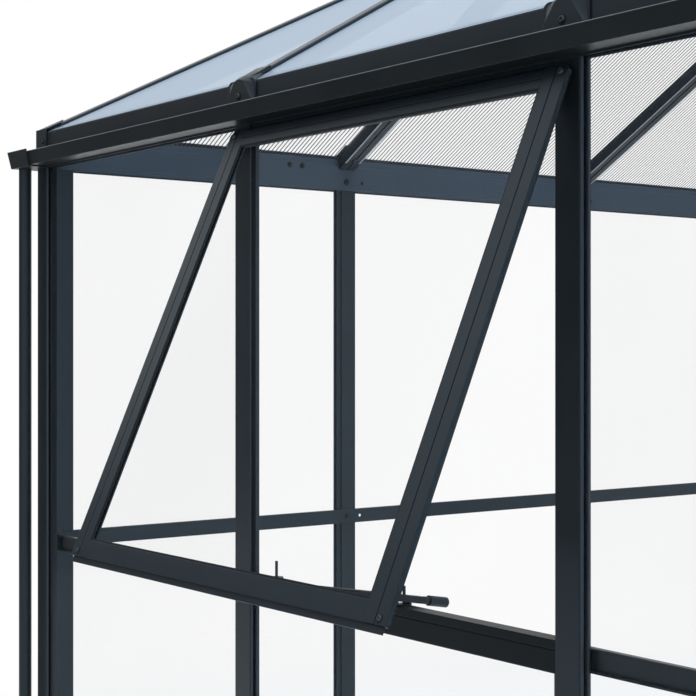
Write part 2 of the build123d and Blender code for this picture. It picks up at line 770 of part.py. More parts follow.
keep(stay_bar.part, "stay_bar")

with BuildPart() as grip:
    with BuildSketch(stay_side):
        with BuildLine():
            neck = stay_end + COLLAR_L
            tip = stay_end + GRIP_L
            Polyline(
                (stay_end, 0),
                (stay_end, COLLAR_R),
                (neck, COLLAR_R),
                (neck, GRIP_R),
                (tip - GRIP_BEVEL, GRIP_R),
                (tip, GRIP_R - GRIP_BEVEL),
                (tip, 0),
                close=True,
            )
        make_face()
    revolve(axis=Axis(pivot, stay_dir), revolution_arc=360)
keep(grip.part, "stay_grip")


# Roof bars: rafters over the posts, hips from the corners and a short ridge

def bar_limit(wall, u, hip_half, ridge_half):
    """Upright plane where a bar on the slope stops: beside the hip, or beside the ridge."""
    if wall.half - abs(u) < wall.reach:
        return mitre_plane(wall, 1 if u > 0 else -1, hip_half)
    return Plane(origin=wall.out * ridge_half, z_dir=-wall.out)


def slope_length(wall):
    return wall.reach / RUN


def rafter(wall, u):
    length = slope_length(wall)
    with BuildPart() as bar:
        with BuildSketch(slope_end_plane(wall, u, 0)):
            with Locations((0, -RAFTER_D)):
                Rectangle(RAFTER_W, RAFTER_D, align=MIDDLE_LOW)
                Rectangle(RAFTER_GROOVE_W, RAFTER_GROOVE_D, align=MIDDLE_LOW, mode=Mode.SUBTRACT)
        extrude(amount=length)
        split(bisect_by=Plane(origin=at(wall, u, POST_D, 0), z_dir=-wall.out), keep=Keep.TOP)
        with BuildSketch(slope_end_plane(wall, u, SHEET_Q / RUN)):
            Rectangle(RIB_W, SHEET_T, align=MIDDLE_LOW)
        extrude(amount=length)
        split(bisect_by=bar_limit(wall, u, HIP_W / 2, RIDGE_W / 2), keep=Keep.BOTTOM)
    return bar.part


def rafter_places():
    return [(wall, post_line(wall, k)) for wall in WALLS for k in range(1, wall.bays)]


keep(Compound([rafter(wall, u).solid() for wall, u in rafter_places()]), "rafters")


def draw_ridge_bar(width, depth, fall):
    """Bar under a meeting of two slopes, its back falling both ways to carry the sheets."""
    half = width / 2
    corners = ((0, 0), (-half, -half * fall), (-half, -depth), (half, -depth), (half, -half * fall))
    Polygon(*corners, align=None)


def draw_ridge_rib(fall):
    half = RIB_W / 2
    peak = SHEET_T * sqrt(1 + fall**2)
    Polygon(
        (0, 0),
        (-half, -half * fall),
        (-half, peak - half * fall),
        (0, peak),
        (half, peak - half * fall),
        (half, -half * fall),
        align=None,
    )


def draw_ridge_strip(width, fall):
    half = width / 2
    low = SHEET_T * sqrt(1 + fall**2)
    high = low + STRIP_T
    Polygon(
        (0, low),
        (-half, low - half * fall),
        (-half, high - half * fall - STRIP_BEVEL_H),
        (-half + STRIP_BEVEL_W, high - (half - STRIP_BEVEL_W) * fall),
        (0, high),
        (half - STRIP_BEVEL_W, high - (half - STRIP_BEVEL_W) * fall),
        (half, high - half * fall - STRIP_BEVEL_H),
        (half, low - half * fall),
        align=None,
    )


def hip_plane(sx, sy, start=0.0):
    """Square end of a hip: x level across it, y up, extruding towards the ridge."""
    corner = Vector(sx * HALF_X, sy * HALF_Y, SEAT_Z)
    climb = (ridge_end(sy) - corner).normalized()
    return Plane(origin=corner + climb * start, x_dir=UP.cross(climb), z_dir=climb)


def ridge_end(sy):
    return Vector(0, sy * (HALF_Y - HALF_X), RIDGE_Z)


def hip_length():
    return (ridge_end(1) - Vector(HALF_X, HALF_Y, SEAT_Z)).length + HIP_STRIP_W


def ridge_joint(sx, sy):
    """Upright plane that shares the ridge end between a hip and the ridge, facing the ridge."""
    hip_way = Vector(sx, sy, 0).normalized()
    return Plane(origin=ridge_end(sy), z_dir=Vector(0, -sy, 0) - hip_way)


def cut_hip_top(sx, sy):
    split(bisect_by=Plane(origin=ridge_end(sy), z_dir=(-sx, 0, 0)), keep=Keep.BOTTOM)
    split(bisect_by=ridge_joint(sx, sy), keep=Keep.BOTTOM)


def hip_rafter(sx, sy):
    with BuildPart() as hip:
        with BuildSketch(hip_plane(sx, sy)):
            draw_ridge_bar(HIP_W, HIP_D, HIP_FALL)
        extrude(amount=hip_length())
        split(bisect_by=Plane(origin=(sx * (HALF_X - POST_D), 0, 0), z_dir=(-sx, 0, 0)), keep=Keep.TOP)
        split(bisect_by=Plane(origin=(0, sy * (HALF_Y - POST_D), 0), z_dir=(0, -sy, 0)), keep=Keep.TOP)
        with BuildSketch(hip_plane(sx, sy, RIB_W + 2 * EAVE_LIP_T)):
            draw_ridge_rib(HIP_FALL)
        extrude(amount=hip_length() - RIB_W)
        cut_hip_top(sx, sy)
    return hip.part


keep(Compound([hip_rafter(sx, sy).solid() for sx, sy in CORNERS]), "hip_rafters")

ridge_overrun = RIDGE_STRIP_W
ridge_start = Plane(origin=ridge_end(-1) - Vector(0, ridge_overrun, 0), x_dir=(-1, 0, 0), z_dir=(0, 1, 0))
ridge_l = 2 * (HALF_Y - HALF_X + ridge_overrun)
with BuildPart() as ridge_beam:
    with BuildSketch(ridge_start):
        draw_ridge_bar(RIDGE_W, RIDGE_D, RISE)
        draw_ridge_rib(RISE)
    extrude(amount=ridge_l)
    for sx, sy in CORNERS:
        split(bisect_by=ridge_joint(sx, sy), keep=Keep.TOP)
keep(ridge_beam.part, "ridge_beam")


# Twin-wall roof sheets, one per bay of each slope, stopping short of the ribs they lie between

hip_edge = sqrt(2) * (RIB_W / 2 + SHEET_GAP)
ridge_edge = RIB_W / 2 + SHEET_GAP


def sheet_limit(wall, u):
    """How far in the sheets reach at place u, measured level from the outer face."""
    return min(wall.half - abs(u) - hip_edge, wall.reach - ridge_edge)


def sheet_outline(wall, k):
    corner_end = wall.half - hip_edge - SHEET_Q
    low_end = -corner_end if k == 0 else post_line(wall, k) + RIB_W / 2 + SHEET_GAP
    high_end = corner_end if k == wall.bays - 1 else post_line(wall, k + 1) - RIB_W / 2 - SHEET_GAP
    flat = max(wall.half - hip_edge - wall.reach + ridge_edge, 0)
    bends = [u for u in (flat, -flat) if low_end < u < high_end]
    tops = [high_end] + bends[: 1 if flat == 0 else 2] + [low_end]
    corners = [(low_end, SHEET_Q / RUN), (high_end, SHEET_Q / RUN)]
    corners += [(u, sheet_limit(wall, u) / RUN) for u in tops if sheet_limit(wall, u) > SHEET_Q + SHEET_GAP]
    return corners


def roof_sheets(wall):
    with BuildPart() as sheets:
        for k in range(wall.bays):
            with BuildSketch(slope_plane(wall)):
                with BuildLine():
                    Polyline(*sheet_outline(wall, k), close=True)
                make_face()
            extrude(amount=SHEET_T)
    return sheets.part


for wall in WALLS:
    keep(roof_sheets(wall), wall_label(wall, "roof_sheets"))

# Trims along the lower edges of the sheets, between the cap strips
trim_corner = HIP_STRIP_W / sqrt(2) + SHEET_Q + TRIM_LEG
with BuildPart() as trims:
    for wall in WALLS:
        for k in range(wall.bays):
            first, last = k == 0, k == wall.bays - 1
            start = -wall.half + trim_corner if first else post_line(wall, k) + STRIP_W / 2
            end = wall.half - trim_corner if last else post_line(wall, k + 1) - STRIP_W / 2
            start += TRIM_GAP
            end -= TRIM_GAP
            with BuildSketch(slope_plane(wall).offset(SHEET_T)):
                with Locations(((start + end) / 2, SHEET_Q / RUN)):
                    Rectangle(end - start, TRIM_LEG, align=MIDDLE_LOW)
            extrude(amount=TRIM_T)
keep(trims.part, "sheet_trims")


# Cap strips over the joints between sheets

def rafter_strip(wall, u):
    half = STRIP_W / 2
    high = SHEET_T + STRIP_T
    with BuildPart() as strip:
        with BuildSketch(slope_end_plane(wall, u, SHEET_Q / RUN)):
            with BuildLine():
                Polyline(
                    (-half, SHEET_T),
                    (half, SHEET_T),
                    (half, high - STRIP_BEVEL_H),
                    (half - STRIP_BEVEL_W, high),
                    (-half + STRIP_BEVEL_W, high),
                    (-half, high - STRIP_BEVEL_H),
                    close=True,
                )
            make_face()
        extrude(amount=slope_length(wall))
        split(bisect_by=bar_limit(wall, u, HIP_STRIP_W / 2, RIDGE_STRIP_W / 2), keep=Keep.BOTTOM)
    return strip.part


keep(Compound([rafter_strip(wall, u).solid() for wall, u in rafter_places()]), "rafter_strips")


def hip_strip(sx, sy):
    start = HIP_STRIP_W / 2 + 3 * EAVE_LIP_T
    with BuildPart() as strip:
        with BuildSketch(hip_plane(sx, sy, start)):
            draw_ridge_strip(HIP_STRIP_W, HIP_FALL)
        extrude(amount=hip_length() - start)
        cut_hip_top(sx, sy)
    return strip.part


keep(Compound([hip_strip(sx, sy).solid() for sx, sy in CORNERS]), "hip_strips")

with BuildPart() as ridge_strip:
    with BuildSketch(ridge_start):
        draw_ridge_strip(RIDGE_STRIP_W, RISE)
    extrude(amount=ridge_l)
    for sx, sy in CORNERS:
        split(bisect_by=ridge_joint(sx, sy), keep=Keep.TOP)
keep(ridge_strip.part, "ridge_strip")


# Moulded caps at the feet of the rafters: a plate with rounded shoulders on the beam, a hood that widens
# from a tapered front to the plate and closes again over the strip, and a collar round the strip

def end_cap(wall, u):
    half = PLATE_W / 2
    foot = EAVE_TOP - CAP_FOOT
    plate_top = EAVE_TOP + PLATE_RISE
    roof_low = SEAT_Z + (SHEET_T + TRIM_T + SOCKET_FIT) / RUN
    back_low = SEAT_Z + SHEET_T / RUN + HOOD_IN * RISE
    back_peak = back_low + (STRIP_T + HOOD_ROOF) / RUN
    front_arch = (-HOOD_FRONT, HOOD_TOP_W / 2, half, EAVE_TOP + HOOD_SHOULDER, plate_top)
    plate_arch = (0, half, half, EAVE_TOP - HOOD_SHOULDER, EAVE_TOP + HOOD_RISE)
    back_arch = (HOOD_IN, HOOD_W / 2, HOOD_W / 2, back_low, back_peak)
    reach = 2 * SOCKET_L
    with BuildPart() as cap:
        with BuildSketch(face_plane(wall, -PLATE_T)):
            with Locations((u, foot)):
                Rectangle(PLATE_W, plate_top - foot, align=MIDDLE_LOW)
            fillet(vertices().filter_by(lambda point: point.Y > EAVE_TOP), PLATE_ROUND)
        extrude(amount=-PLATE_T)
        for q, top, low, shoulder, peak in (front_arch, plate_arch, back_arch):
            with BuildSketch(face_plane(wall, q)):
                with BuildLine():
                    Polyline((u - top, shoulder), (u - low, foot), (u + low, foot), (u + top, shoulder))
                    ThreePointArc((u + top, shoulder), (u, peak), (u - top, shoulder))
                make_face()
        loft(ruled=True)
        with BuildSketch(slope_end_plane(wall, u, SHEET_Q / RUN)):
            with Locations((0, SHEET_T)):
                Rectangle(STRIP_W + 2 * SOCKET_WALL, STRIP_T + SOCKET_ROOF, align=MIDDLE_LOW)
        extrude(amount=SOCKET_L)
        with BuildSketch(section_plane(wall, u - half)):
            with BuildLine():
                roof_high = roof_low + reach * RISE
                Polyline((0, foot), (reach, foot), (reach, roof_high), (0, roof_low), close=True)
            make_face()
        extrude(amount=PLATE_W, mode=Mode.SUBTRACT)
        with BuildSketch(slope_end_plane(wall, u, (SHEET_Q - SOCKET_FIT) / RUN)):
            Rectangle(STRIP_W + 2 * SOCKET_FIT, SHEET_T + STRIP_T + SOCKET_FIT, align=MIDDLE_LOW)
        extrude(amount=reach, mode=Mode.SUBTRACT)
    return cap.part


keep(Compound([end_cap(wall, u).solid() for wall, u in rafter_places()]), "rafter_end_caps")


# Corner caps: an angle round the beam corner, rising into a socket over the foot of the hip strip

def corner_cap(sx, sy):
    foot = EAVE_TOP - CAP_FOOT
    size = CORNER_CAP_LEG + CORNER_CAP_T
    strip_low = SHEET_T * sqrt(1 + HIP_FALL**2)
    half = HIP_STRIP_W / 2 + SOCKET_WALL
    low = strip_low + STRIP_T + SOCKET_FIT
    high = low + SOCKET_ROOF
    edge = half * HIP_FALL
    with BuildPart() as cap:
        with BuildSketch(hip_plane(sx, sy, -HIP_STRIP_W)):
            with BuildLine():
                Polyline(
                    (0, high),
                    (-half, high - edge),
                    (-half, low - edge),
                    (0, low),
                    (half, low - edge),
                    (half, high - edge),
                    close=True,
                )
            make_face()
        extrude(amount=HIP_STRIP_W + CORNER_SOCKET_L)
        face_x = Plane(origin=(sx * (HALF_X + CORNER_CAP_T), 0, 0), z_dir=(-sx, 0, 0))
        face_y = Plane(origin=(0, sy * (HALF_Y + CORNER_CAP_T), 0), z_dir=(0, -sy, 0))
        split(bisect_by=face_x, keep=Keep.TOP)
        split(bisect_by=face_y, keep=Keep.TOP)
        with BuildSketch(corner_plane(sx, sy, foot)):
            with Locations((-CORNER_CAP_T, -CORNER_CAP_T)):
                Rectangle(size, size, align=EDGE)
            Rectangle(size, size, align=EDGE, mode=Mode.SUBTRACT)
        extrude(amount=CAP_FOOT + CORNER_CAP_RISE)
    return cap.part


keep(Compound([corner_cap(sx, sy).solid() for sx, sy in CORNERS]), "corner_caps")


# Gutters: a leaning front, a level floor and a back against the beam

def gutter(wall):
    front_top = GUTTER_Z + GUTTER_H
    with BuildPart() as trough:
        with BuildSketch(section_plane(wall, -wall.half)):
            with BuildLine():
                Polyline(
                    (0, GUTTER_Z),
                    (-GUTTER_FLOOR, GUTTER_Z),
                    (-GUTTER_OUT, front_top),
                    (-GUTTER_OUT + GUTTER_T, front_top),
                    (-GUTTER_FLOOR + GUTTER_T, GUTTER_Z + GUTTER_T),
                    (-GUTTER_T, GUTTER_Z + GUTTER_T),
                    (-GUTTER_T, GUTTER_Z + GUTTER_BACK_H),
                    (0, GUTTER_Z + GUTTER_BACK_H),
                    close=True,
                )
            make_face()
        extrude(amount=2 * wall.half)
    return trough.part


for wall in WALLS:
    keep(gutter(wall), wall_label(wall, "gutter"))


# Gutter corners: sleeves over two gutter ends, two of them with an outlet spigot

def sleeve_arm(wall, side):
    near, far = SLEEVE_FIT, SLEEVE_FIT + SLEEVE_T
    top = GUTTER_Z + GUTTER_H + SLEEVE_RISE
    lean_out = GUTTER_OUT + GUTTER_LEAN * SLEEVE_RISE / GUTTER_H
    start = side * (wall.half - SLEEVE_LAP)
    length = SLEEVE_LAP + lean_out + far
    with BuildPart() as arm:
        with BuildSketch(section_plane(wall, start)):
            with BuildLine():
                Polyline(
                    (0, GUTTER_Z - far),
                    (-GUTTER_FLOOR - far, GUTTER_Z - far),
                    (-lean_out - far, top),
                    (-lean_out - near, top),
                    (-GUTTER_FLOOR - near, GUTTER_Z - near),
                    (0, GUTTER_Z - near),
                    close=True,
                )
            make_face()
        extrude(amount=side * length)
        split(bisect_by=mitre_plane(wall, side), keep=Keep.BOTTOM)
    return arm.part


def outlet_point(sx, sy, z):
    return Vector(sx * (HALF_X + GUTTER_FLOOR / 2), sy * (HALF_Y + GUTTER_FLOOR / 2), z)


PIPE_CORNERS = ((-1, -1), (1, 1))
WALL_PAIRS = ((LEFT, FRONT), (FRONT, RIGHT), (RIGHT, BACK), (BACK, LEFT))
pipe_top = GUTTER_Z - SLEEVE_FIT - SLEEVE_T
spigot_r = PIPE_R - PIPE_WALL - PIPE_FIT


def gutter_corner(sx, sy, before, after):
    with BuildPart() as corner:
        add(sleeve_arm(before, 1))
        add(sleeve_arm(after, -1))
        if (sx, sy) in PIPE_CORNERS:
            with BuildSketch(Plane(origin=outlet_point(sx, sy, pipe_top))):
                Circle(spigot_r)
            extrude(amount=-SPIGOT_L)
            with BuildSketch(Plane(origin=outlet_point(sx, sy, GUTTER_Z))):
                Circle(spigot_r - SPIGOT_WALL)
            extrude(amount=pipe_top - SPIGOT_L - GUTTER_Z, mode=Mode.SUBTRACT)
    return corner.part


corner_parts = [gutter_corner(*place, *pair) for place, pair in zip(CORNERS, WALL_PAIRS)]
keep(Compound([part.solid() for part in corner_parts]), "gutter_corners")

with BuildPart() as downpipes:
    for sx, sy in PIPE_CORNERS:
        with BuildSketch(Plane(origin=outlet_point(sx, sy, PIPE_BOTTOM))):
            Circle(PIPE_R)
            Circle(PIPE_R - PIPE_WALL, mode=Mode.SUBTRACT)
        extrude(amount=pipe_top - PIPE_BOTTOM)
keep(downpipes.part, "downpipes")

# Pipe clips: a ring on a neck from an angle that is screwed round the corner post
with BuildPart() as clips:
    for sx, sy in PIPE_CORNERS:
        ring_in = PIPE_R + CLIP_FIT
        centre = -GUTTER_FLOOR / 2
        with BuildSketch(corner_plane(sx, sy, CLIP_Z)):
            with Locations((-CLIP_PLATE, -CLIP_PLATE)):
                Rectangle(CLIP_LEG, CLIP_LEG, align=EDGE)
            with Locations(Location((centre / 2, centre / 2), 45)):
                Rectangle(-centre * sqrt(2), CLIP_NECK)
            Rectangle(CLIP_LEG, CLIP_LEG, align=EDGE, mode=Mode.SUBTRACT)
            with Locations((centre, centre)):
                Circle(ring_in + CLIP_T)
                Circle(ring_in, mode=Mode.SUBTRACT)
        extrude(amount=CLIP_H)
keep(clips.part, "downpipe_clips")

# Door leaves: hollow stiles, three rails and two panes each; side -1 is the left leaf seen from outside
leaf_low = THRESHOLD_H + LEAF_FLOOR_GAP
leaf_high = BEAM_BOTTOM - LEAF_HEAD_GAP
leaf_outer = door_edge - LEAF_SIDE_GAP
leaf_inner = LEAF_MEET_GAP / 2
leaf_slot_q = (LEAF_D - SLOT) / 2
rail_lows = (leaf_low, RAIL_TOP - RAIL_H, leaf_high - LEAF_TOP_H)
rail_heights = (LEAF_BOTTOM_H, RAIL_H, LEAF_TOP_H)
handle_u = leaf_inner + LEAF_STILE_W / 2


def leaf_stile(edge, inward):
    """Stile whose pane slot is on the side that inward points to."""
    hollow_w = LEAF_STILE_W - LEAF_BITE - 2 * LEAF_WALL
    with BuildPart() as stile:
        with BuildSketch(plan_plane(RIGHT, edge, leaf_low)):
            with Locations((inward * LEAF_STILE_W / 2, LEAF_D / 2)):
                Rectangle(LEAF_STILE_W, LEAF_D)
            with Locations((inward * (LEAF_STILE_W - LEAF_BITE / 2), LEAF_D / 2)):
                Rectangle(LEAF_BITE, SLOT, mode=Mode.SUBTRACT)
            with Locations((inward * (LEAF_WALL + hollow_w / 2), LEAF_D / 2)):
                Rectangle(hollow_w, LEAF_D - 2 * LEAF_WALL, mode=Mode.SUBTRACT)
        extrude(amount=leaf_high - leaf_low)
        if edge == leaf_inner:
            with BuildSketch(face_plane(RIGHT, 0)):
                with Locations((handle_u, HANDLE_Z)):
                    Circle(SPINDLE_R + SPINDLE_FIT)
            extrude(amount=-LEAF_D, mode=Mode.SUBTRACT)
    return stile.part


def leaf_rail(start, length, low, height, slots_up, slots_down):
    with BuildPart() as rail:
        with BuildSketch(section_plane(RIGHT, start)):
            with Locations((0, low)):
                Rectangle(LEAF_D, height, align=EDGE)
            if slots_up:
                with Locations((leaf_slot_q, low + height - LEAF_BITE)):
                    Rectangle(SLOT, LEAF_BITE, align=EDGE, mode=Mode.SUBTRACT)
            if slots_down:
                with Locations((leaf_slot_q, low)):
                    Rectangle(SLOT, LEAF_BITE, align=EDGE, mode=Mode.SUBTRACT)
        extrude(amount=length)
    return rail.part


def leaf_frame(side):
    near, far = sorted((side * leaf_inner, side * leaf_outer))
    length = far - near - 2 * LEAF_STILE_W
    parts = [leaf_stile(near, 1), leaf_stile(far, -1)]
    for i, (low, height) in enumerate(zip(rail_lows, rail_heights)):
        parts.append(leaf_rail(near + LEAF_STILE_W, length, low, height, i < 2, i > 0))
    return Compound([part.solid() for part in parts])


def leaf_panes(side):
    middle = side * (leaf_inner + leaf_outer) / 2
    width = leaf_outer - leaf_inner - 2 * LEAF_STILE_W + 2 * (LEAF_BITE - PANE_GAP)
    with BuildPart() as panes:
        for i in range(2):
            low = rail_lows[i] + rail_heights[i] - LEAF_BITE
            high = rail_lows[i + 1] + LEAF_BITE - PANE_GAP
            with BuildSketch(face_plane(RIGHT, leaf_slot_q + PANE_FIT)):
                with Locations((middle, low)):
                    Rectangle(width, high - low, align=MIDDLE_LOW)
            extrude(amount=-PANE_T)
    return panes.part


for side, name in ((-1, "left"), (1, "right")):
    keep(leaf_frame(side), f"door_frame_{name}")
    keep(leaf_panes(side), f"door_panes_{name}")

# Lift-off hinges: the post half carries the pin, the leaf half drops over it
axis_u = (door_edge + leaf_outer) / 2
with BuildPart() as hinge_posts:
    for side in (-1, 1):
        for z in HINGE_Z:
            with BuildSketch(plan_plane(RIGHT, side * axis_u, z - KNUCKLE_L)):
                with Locations((0, -KNUCKLE_OUT)):
                    Circle(KNUCKLE_R)
                with Locations((side * (LEAF_SIDE_GAP / 2 + HINGE_PLATE_W / 2), -HINGE_PLATE_T / 2)):
                    Rectangle(HINGE_PLATE_W, HINGE_PLATE_T)
                with Locations((side * LEAF_SIDE_GAP, -KNUCKLE_OUT / 2)):
                    Rectangle(LEAF_SIDE_GAP, KNUCKLE_OUT)
            extrude(amount=KNUCKLE_L)
            with BuildSketch(plan_plane(RIGHT, side * axis_u, z)):
                with Locations((0, -KNUCKLE_OUT)):
                    Circle(PIN_R)
            extrude(amount=KNUCKLE_L)
keep(hinge_posts.part, "hinge_post_halves")


def leaf_hinges(side):
    with BuildPart() as halves:
        for z in HINGE_Z:
            with BuildSketch(plan_plane(RIGHT, side * axis_u, z + KNUCKLE_GAP)):
                with Locations((0, -KNUCKLE_OUT)):
                    Circle(KNUCKLE_R)
                with Locations((-side * (LEAF_SIDE_GAP / 2 + HINGE_PLATE_W / 2), -HINGE_PLATE_T / 2)):
                    Rectangle(HINGE_PLATE_W, HINGE_PLATE_T)
                with Locations((-side * LEAF_SIDE_GAP, -KNUCKLE_OUT / 2)):
                    Rectangle(LEAF_SIDE_GAP, KNUCKLE_OUT)
                with Locations((0, -KNUCKLE_OUT)):
                    Circle(PIN_R + PIN_FIT, mode=Mode.SUBTRACT)
            extrude(amount=KNUCKLE_L - KNUCKLE_GAP)
    return halves.part


keep(leaf_hinges(-1), "hinge_leaf_halves_left")
keep(leaf_hinges(1), "hinge_leaf_halves_right")

# Lever handle: a spindle through the right leaf, a neck and a lever hanging down while unlatched
finger_q = LEAF_D + ROSE_T + FINGER_GAP
with BuildPart() as handle:
    with BuildSketch(face_plane(RIGHT, finger_q + FINGER_T)):
        with Locations((handle_u, HANDLE_Z)):
            Circle(SPINDLE_R)
    extrude(amount=finger_q + FINGER_T + LEVER_OUT)
    with BuildSketch(face_plane(RIGHT, -ROSE_T - FINGER_GAP)):
        with Locations((handle_u, HANDLE_Z)):
            Circle(NECK_R)
    extrude(amount=LEVER_OUT - ROSE_T - FINGER_GAP)
    with BuildSketch(plan_plane(RIGHT, handle_u, HANDLE_Z + LEVER_HEAD)):
        with Locations((0, -LEVER_OUT)):
            Circle(LEVER_R)
    extrude(amount=-LEVER_L - LEVER_HEAD)
keep(handle.part, "door_handle")

with BuildPart() as finger:
    with BuildSketch(face_plane(RIGHT, finger_q)):
        with Locations((handle_u, HANDLE_Z)):
            Circle(FINGER_W / 2)
            Rectangle(FINGER_W, FINGER_L, align=MIDDLE_LOW)
            Circle(SPINDLE_R, mode=Mode.SUBTRACT)
    extrude(amount=-FINGER_T)
keep(finger.part, "latch_finger")

with BuildPart() as roses:
    for q in (0, LEAF_D + ROSE_T):
        with BuildSketch(face_plane(RIGHT, q)):
            with Locations((handle_u, HANDLE_Z)):
                Circle(ROSE_R)
                Circle(SPINDLE_R + SPINDLE_FIT, mode=Mode.SUBTRACT)
        extrude(amount=ROSE_T)
keep(roses.part, "handle_roses")

# Floor bolt on the inside of the left leaf, raised, with its guides
with BuildPart() as bolt:
    with BuildSketch(plan_plane(RIGHT, bolt_u, BOLT_BOTTOM)):
        with Locations((0, bolt_q)):
            Circle(BOLT_R)
    extrude(amount=BOLT_L)
    with BuildSketch(face_plane(RIGHT, bolt_q)):
        with Locations((bolt_u, sum(GUIDE_Z) / 2 + GUIDE_H / 2)):
            Circle(BOLT_KNOB_R)
    extrude(amount=-BOLT_KNOB_L)
keep(bolt.part, "floor_bolt")

with BuildPart() as guides:
    for z in GUIDE_Z:
        with BuildSketch(plan_plane(RIGHT, bolt_u, z)):
            with Locations((0, LEAF_D)):
                Rectangle(GUIDE_W, 2 * BOLT_Q, align=MIDDLE_LOW)
            with Locations((0, bolt_q)):
                Circle(BOLT_R + BOLT_FIT, mode=Mode.SUBTRACT)
        extrude(amount=GUIDE_H)
keep(guides.part, "bolt_guides")

os.makedirs("parts", exist_ok=True)
for piece in pieces:
    export_step(piece, f"parts/{piece.label}.step")

stay_at = tuple(round(value, 3) for value in pivot)
print(f"{len(pieces)} nodes, ridge at {RIDGE_Z:.1f}")
print(f"stay angle {degrees(stay_angle):.2f}, reach {stay_reach:.1f}")
print(f"window hinge {tuple(round(value, 3) for value in hinge_point)}, stay pivot {stay_at}")
print(f"door hinges at x {HALF_X + KNUCKLE_OUT:.1f}, y {axis_u:.1f}")
print(f"handle y {handle_u:.1f}, bolt y {bolt_u:.1f}")
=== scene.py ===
import json
from math import cos, pi, radians, sin

import bmesh
import bpy
from mathutils import Matrix, Vector


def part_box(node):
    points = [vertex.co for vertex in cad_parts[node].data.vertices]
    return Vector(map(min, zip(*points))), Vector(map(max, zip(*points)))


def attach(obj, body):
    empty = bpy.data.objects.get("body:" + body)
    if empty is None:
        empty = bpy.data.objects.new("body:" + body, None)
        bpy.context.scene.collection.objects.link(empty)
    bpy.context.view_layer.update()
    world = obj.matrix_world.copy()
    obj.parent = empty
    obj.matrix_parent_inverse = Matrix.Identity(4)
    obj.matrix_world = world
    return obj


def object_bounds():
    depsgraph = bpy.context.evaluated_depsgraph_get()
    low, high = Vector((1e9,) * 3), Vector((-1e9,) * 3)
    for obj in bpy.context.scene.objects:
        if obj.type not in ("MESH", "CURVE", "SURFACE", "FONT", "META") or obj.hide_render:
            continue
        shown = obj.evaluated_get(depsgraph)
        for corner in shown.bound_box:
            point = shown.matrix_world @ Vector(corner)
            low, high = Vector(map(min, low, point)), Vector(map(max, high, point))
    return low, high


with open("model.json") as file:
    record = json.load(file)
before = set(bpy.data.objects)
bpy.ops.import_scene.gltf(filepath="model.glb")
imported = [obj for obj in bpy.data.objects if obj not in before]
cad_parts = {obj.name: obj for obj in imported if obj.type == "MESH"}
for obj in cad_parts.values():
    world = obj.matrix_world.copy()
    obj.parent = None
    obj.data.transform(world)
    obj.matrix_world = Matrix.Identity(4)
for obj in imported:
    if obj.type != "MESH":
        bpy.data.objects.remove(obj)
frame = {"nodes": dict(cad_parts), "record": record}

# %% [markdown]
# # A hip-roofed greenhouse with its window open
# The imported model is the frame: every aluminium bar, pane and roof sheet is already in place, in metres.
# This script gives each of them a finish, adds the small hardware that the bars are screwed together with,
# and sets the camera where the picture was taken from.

CAD_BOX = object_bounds()
nodes = frame["nodes"]
box_text = [[round(v, 3) for v in corner] for corner in CAD_BOX]
print("frame:", len(nodes), "nodes, box", *box_text)

# %% [markdown]
# ## Camera
# The picture is taken at the height of the window's middle, level, with a long lens from outside the
# corner. A level camera keeps the posts upright, so the horizon runs through the middle of the picture.

# %% Camera
CAMERA_PLACE = Vector((1.7703, -2.8748, 1.423))
CAMERA_TURN = radians(53.4)
LENS_MM = 81.29
SENSOR_MM = 36.0

camera_data = bpy.data.cameras.new("camera")
camera_data.lens = LENS_MM
camera_data.sensor_width = SENSOR_MM
camera_data.clip_start = 0.05
camera = bpy.data.objects.new("camera", camera_data)
camera.location = CAMERA_PLACE
camera.rotation_euler = (pi / 2, 0, CAMERA_TURN)
bpy.context.scene.collection.objects.link(camera)
bpy.context.scene.camera = camera
bpy.context.scene.view_settings.view_transform = "Standard"
print("camera at", tuple(round(v, 3) for v in camera.location))

# %% [markdown]
# ## Studio
# A white room: what the camera, the metal and the glass see behind the greenhouse is plain white, while
# the light that falls on it is a softer sky. Light Path tells the two apart. The floor is a pale disc
# that goes to white for the camera but keeps the shadow.

# %% Helpers for node trees
def new_tree(material):
    material.use_nodes = True
    tree = material.node_tree
    tree.nodes.clear()
    return tree


def put(tree, kind, **settings):
    """Adds a node and sets its properties; keys that name an input socket set that socket."""
    node = tree.nodes.new(kind)
    for key, value in settings.items():
        if hasattr(node, key):
            setattr(node, key, value)
        else:
            node.inputs[key.replace("_", " ")].default_value = value
    return node


def wire(tree, source, target):
    tree.links.new(source, target)


def seen_ray(tree):
    """Is 1 for what the camera sees, straight or by way of gloss or glass."""
    path = put(tree, "ShaderNodeLightPath")
    direct = put(tree, "ShaderNodeMath", operation="MAXIMUM")
    seen = put(tree, "ShaderNodeMath", operation="MAXIMUM")
    wire(tree, path.outputs["Is Camera Ray"], direct.inputs[0])
    wire(tree, path.outputs["Is Glossy Ray"], direct.inputs[1])
    wire(tree, direct.outputs[0], seen.inputs[0])
    wire(tree, path.outputs["Is Transmission Ray"], seen.inputs[1])
    return seen.outputs[0]


# %% World
SKY_COLOUR = (0.78, 0.90, 1.0, 1)
SKY_DIM = 0.08
SKY_BRIGHT = 0.9
SKY_FADE_FROM = -0.1
SKY_SIDE = Vector((0.85, 0.30, 0.30)).normalized()

